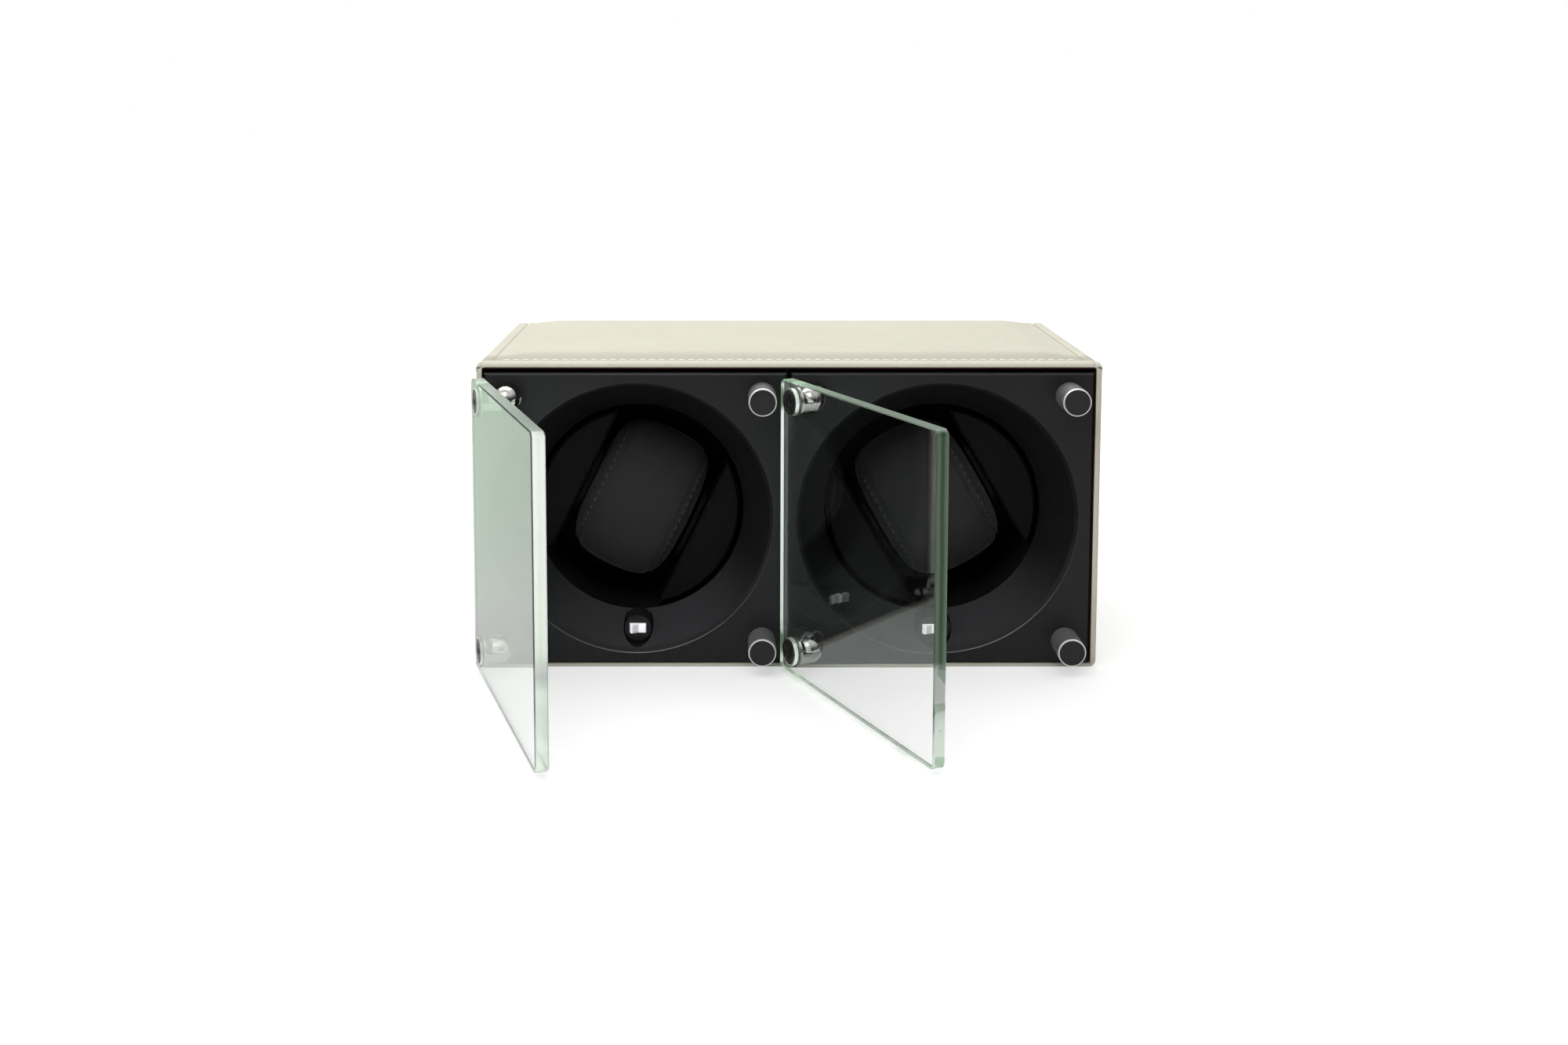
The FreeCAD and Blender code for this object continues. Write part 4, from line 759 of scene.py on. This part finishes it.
def make_plate():
    """Satin black plate, with a painted highlight on its bevels where they look up, and painted shade on the wall of
    its opening.
    """
    material, tree, shader = new_material("satin_black_plate")
    marks = use(tree, SPECKLE, Scale=1600.0, Relief=0.1)
    normal = tree.normal()
    ahead = tree.math("ABSOLUTE", normal["Y"], 0.0)
    lean = tree.math("ABSOLUTE", tree.math("SUBTRACT", ahead, BEVEL_COSINE), 0.0)
    # painted highlight: bevels that look up are lighter and metallic
    bevel = tree.math("MULTIPLY", tree.span(lean, 0.1, 0.25, 1.0, 0.0), tree.span(normal["Z"], 0.0, 0.6))
    # painted shade: the wall of the opening is darker
    wall = tree.span(ahead, 0.2, 0.4, 1.0, 0.0)
    face = tree.mix(marks["Speckle"], (0.009, 0.009, 0.0105, 1.0), (0.017, 0.017, 0.0195, 1.0))
    colour = tree.mix(wall, tree.mix(bevel, face, (0.09, 0.09, 0.095, 1.0)), (0.003, 0.003, 0.0035, 1.0))
    wire(tree, shader, Base_Color=colour, Normal=marks["Normal"], Metallic=tree.math("MAXIMUM", bevel, wall),
         Roughness=tree.fit(marks["Smudge"], 0.34, 0.46), Specular_IOR_Level=0.26)
    return material


def make_bowl():
    """Satin black moulding, with painted light where the taper looks up: share e(N.z) * |N.y|, none on the well."""
    material, tree, shader = new_material("bowl_black_plastic")
    marks = use(tree, SPECKLE, Scale=1200.0, Relief=0.15)
    normal = tree.normal()
    upward = tree.span(normal["Z"], 0.25, 0.85, kind="SMOOTHSTEP")
    taper = tree.span(tree.math("ABSOLUTE", normal["Y"], 0.0), 0.12, 0.25)
    # painted light: the taper lighter where it looks up
    painted_light_on_taper = tree.math("MULTIPLY", upward, taper)
    clean = tree.mix(marks["Speckle"], (0.004, 0.004, 0.0045, 1.0), (0.009, 0.009, 0.0095, 1.0))
    wire(tree, shader, Base_Color=tree.mix(painted_light_on_taper, clean, (0.036, 0.036, 0.039, 1.0)), Normal=marks["Normal"],
         Roughness=tree.fit(marks["Smudge"], 0.46, 0.6), Specular_IOR_Level=0.16)
    return material


def make_posts():
    """Turned posts: a satin barrel, and a bright cut rim where the normal leans along the axis."""
    material, tree, shader = new_material("satin_aluminium")
    marks = use(tree, TURNING, Scale=2500.0, Relief=0.12)
    rim = tree.span(tree.math("ABSOLUTE", tree.normal()["Y"], 0.0), 0.2, 0.4)
    barrel = tree.mix(marks["Rings"], (0.30, 0.30, 0.305, 1.0), (0.46, 0.46, 0.465, 1.0))
    wire(tree, shader, Base_Color=tree.mix(rim, barrel, (0.86, 0.86, 0.87, 1.0)), Metallic=tree.fit(rim, 0.7, 0.3),
         Roughness=tree.fit(marks["Rings"], 0.32, 0.42), Normal=marks["Normal"])
    return material


def make_key_plastic():
    """Milky clear plastic of a rocker: it has a painted glow, with painted shade where the normal turns to the right.
    """
    material, tree, shader = new_material("milky_clear_plastic")
    marks = use(tree, SPECKLE, Scale=500.0, Relief=0.02)
    # painted glow, weaker as painted shade where the normal turns to the right
    painted_shade_right = tree.span(tree.normal()["X"], -0.05, 0.45, kind="SMOOTHSTEP")
    colour = tree.mix(marks["Speckle"], (0.90, 0.90, 0.94, 1.0), (0.96, 0.96, 0.99, 1.0))
    painted_light = tree.mix(painted_shade_right, (0.50, 0.50, 0.53, 1.0), (0.13, 0.13, 0.14, 1.0))
    wire(tree, shader, Base_Color=colour, Roughness=tree.fit(marks["Smudge"], 0.08, 0.2), Normal=marks["Normal"],
         Transmission_Weight=0.15, IOR=1.49, Emission_Color=painted_light, Emission_Strength=1.0)
    return material


def make_suede():
    """Brushed cloth: a soft sheen over a dark nap."""
    material, tree, shader = new_material("cushion_suede")
    marks = use(tree, SPECKLE, Scale=2600.0, Relief=0.3)
    nap = tree.mix(marks["Speckle"], (0.006, 0.006, 0.007, 1.0), (0.020, 0.019, 0.020, 1.0))
    colour = tree.mix(tree.fit(marks["Smudge"], 0.0, 0.5), nap, (0.026, 0.026, 0.027, 1.0))
    wire(tree, shader, Base_Color=colour, Roughness=tree.fit(marks["Speckle"], 0.8, 0.95), Normal=marks["Normal"],
         Sheen_Weight=0.12, Sheen_Roughness=0.4)
    return material


def make_thread(name, dark, light):
    """Twisted thread: slanting bands of two shades."""
    material, tree, shader = new_material(name)
    place = tree.add("ShaderNodeTexCoord").outputs["Object"]
    twist = tree.add("ShaderNodeTexWave", {"Vector": place, "Scale": 1400.0, "Distortion": 1.0},
                     bands_direction="DIAGONAL")
    colour = tree.mix(twist.outputs["Fac"], (*dark, 1.0), (*light, 1.0))
    wire(tree, shader, Base_Color=colour, Roughness=tree.fit(twist.outputs["Fac"], 0.55, 0.75))
    return material


def make_finishes():
    """One material for each of the record's slots."""
    return {
        "leather": make_leather("pale_leather", (0.60, 0.58, 0.475), (0.78, 0.76, 0.64)),
        "board": make_board(),
        "black_plate": make_plate(),
        "black_plastic": coated("satin_black_plastic", (0.008, 0.008, 0.0085), (0.016, 0.016, 0.017), (0.42, 0.56),
                                1200.0, 0.15, Specular_IOR_Level=0.3),
        "chrome": coated("polished_chrome", (0.46, 0.445, 0.43), (0.60, 0.585, 0.57), (0.04, 0.1), 400.0, 0.01,
                         Metallic=1.0),
        "satin_aluminium": make_posts(),
        "steel": turned("ground_steel", (0.42, 0.42, 0.43), (0.60, 0.60, 0.61), (0.22, 0.35)),
        "black_steel": coated("black_steel", (0.008, 0.008, 0.009), (0.016, 0.016, 0.017), (0.28, 0.4), 1500.0, 0.06),
        "rubber": coated("black_rubber", (0.006, 0.0058, 0.0055), (0.016, 0.0155, 0.015), (0.55, 0.7), 1500.0, 0.2),
        "clear_plastic": make_key_plastic(),
        "cushion_suede": make_suede(),
        "acetal": coated("white_acetal", (0.68, 0.68, 0.66), (0.78, 0.78, 0.76), (0.35, 0.5)),
        "brass": turned("cut_brass", (0.55, 0.38, 0.13), (0.78, 0.58, 0.25), (0.2, 0.32)),
        "circuit": coated("green_circuit_board", (0.010, 0.09, 0.035), (0.02, 0.14, 0.06), (0.25, 0.4), 500.0, 0.05),
    }


def dress_all():
    """Give every shown piece its material."""
    finishes = make_finishes()
    threads = {"seam_stitches": make_thread("ivory_thread", (0.90, 0.88, 0.82), (0.97, 0.96, 0.93)),
               "crease_stitches": make_thread("dark_thread", (0.26, 0.235, 0.185), (0.40, 0.37, 0.30))}
    grey = make_thread("charcoal_thread", (0.03, 0.03, 0.032), (0.08, 0.08, 0.084))
    # Painted light and shade: both panes are one glass, but the left door's edge and foot colours are painted lighter
    # than the right door's, and each has its own painted glow shares
    panes = {"left_door_glass": make_glass("left", (0.68, 0.78, 0.68), (0.90, 0.94, 0.90), (0.94, 0.96, 0.94),
                                           (0.10, 0.22)),
             "right_door_glass": make_glass("right", (0.07, 0.20, 0.075), (0.46, 0.72, 0.47), (0.855, 0.86, 0.855),
                                            (0.14, 0.36))}
    # Painted shade: the rotor and cradle take a darker, duller copy of the black plastic, for the shade of the well
    dull_shaded_plastic = coated("dull_black_plastic", (0.002, 0.002, 0.002), (0.004, 0.004, 0.0045), (0.5, 0.62), 1200.0, 0.15,
                  Specular_IOR_Level=0.1)
    bowl = make_bowl()
    slots = {part["node"]: part["material_slot"] for part in frame["record"]["subparts"]}
    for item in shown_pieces():
        if item.name in threads:
            finish = threads[item.name]
        elif item.name.endswith("cushion_stitches"):
            finish = grey
        elif item.name.endswith(("_rotor", "_holder_cradle")):
            finish = dull_shaded_plastic
        elif item.name.endswith("_bowl"):
            finish = bowl
        elif item.name in panes:
            finish = panes[item.name]
        else:
            finish = finishes[item.get("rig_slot") or slots[item.name]]
        item.data.materials.clear()
        item.data.materials.append(finish)


def make_floor():
    """A pale floor that is white to the eye and keeps the object's shadow.

    Its glow grows from 0.5 at 0.2 m from the object's middle to 0.8 at 0.7 m."""
    x, y = np.meshgrid([-FLOOR_HALF, FLOOR_HALF], [-FLOOR_HALF, FLOOR_HALF], indexing="ij")
    floor = lay_surfaces("floor", np.stack([x, y, np.full(x.shape, -FLOOR_DROP)], axis=-1)[None])
    material = bpy.data.materials.new("white_floor")
    tree = empty_tree(material)
    ray = tree.add("ShaderNodeLightPath").outputs
    seen = tree.math("MAXIMUM", ray["Is Camera Ray"], ray["Is Transmission Ray"])
    place = tree.add("ShaderNodeTexCoord").outputs["Object"]
    distance = tree.add("ShaderNodeVectorMath", {0: place}, operation="LENGTH").outputs["Value"]
    fade = tree.span(distance, 0.2, 0.7, 0.5, 0.8)
    strength = tree.math("ADD", tree.math("MULTIPLY", seen, fade), tree.math("MULTIPLY", ray["Is Glossy Ray"], 0.15))
    lit = tree.add("ShaderNodeBsdfDiffuse", {"Color": (0.62, 0.62, 0.62, 1.0)})
    glow = tree.add("ShaderNodeEmission", {"Color": (1.0, 1.0, 1.0, 1.0), "Strength": strength})
    both = tree.add("ShaderNodeAddShader", {0: lit.outputs[0], 1: glow.outputs[0]})
    tree.add("ShaderNodeOutputMaterial", {"Surface": both.outputs[0]})
    floor.data.materials.append(material)


def make_light():
    """White surroundings, a broad soft lamp above and behind, and a weaker one above and in front."""
    world = bpy.data.worlds.new("studio")
    tree = empty_tree(world)
    ray = tree.add("ShaderNodeLightPath").outputs
    seen = tree.math("MAXIMUM", ray["Is Camera Ray"], ray["Is Transmission Ray"])
    direction = tree.add("ShaderNodeTexCoord").outputs["Generated"]
    upward = tree.add("ShaderNodeSeparateXYZ", {0: direction}).outputs["Z"]
    sky = tree.span(upward, 0.2, 0.85, 0.05, 1.0, "SMOOTHSTEP")
    strength = tree.math("MAXIMUM", seen, sky)
    glow = tree.add("ShaderNodeBackground", {"Color": (1.0, 1.0, 1.0, 1.0), "Strength": strength})
    tree.add("ShaderNodeOutputWorld", {"Surface": glow.outputs[0]})
    bpy.context.scene.world = world
    for name, energy, place, turn in (("back_lamp", 3.4, (-0.15, 0.35, 0.85), (-22.0, -10.0)),
                                      ("front_lamp", 2.8, (-0.3, -0.6, 0.8), (37.0, -20.0))):
        lamp = bpy.data.lights.new(name, "AREA")
        lamp.shape = "RECTANGLE"
        lamp.size = 0.9
        lamp.size_y = 0.6
        lamp.energy = energy
        item = bpy.data.objects.new(name, lamp)
        item.location = place
        item.rotation_euler = (math.radians(turn[0]), math.radians(turn[1]), 0.0)
        bpy.context.scene.collection.objects.link(item)


def make_camera():
    """The camera, at the angle of the photograph."""
    camera = bpy.data.cameras.new("camera")
    camera.sensor_width = 36.0
    camera.lens = 36.81
    camera.shift_x = 0.0320
    camera.shift_y = -0.1604
    camera.clip_start = 0.01
    camera.clip_end = 50.0
    item = bpy.data.objects.new("camera", camera)
    item.location = CAMERA_PLACE
    item.rotation_euler = (math.pi / 2 - CAMERA_PITCH, 0.0, 0.0)
    bpy.context.scene.collection.objects.link(item)
    bpy.context.scene.camera = item


make_lid()
make_side("left", -1)
make_side("right", 1)
make_stitches()
for side_name in ("left", "right"):
    make_cushion(side_name)
    make_screws(side_name)
    make_rocker(side_name)
dress_all()
make_floor()
make_light()
make_camera()
bpy.context.scene.view_settings.view_transform = "Standard"
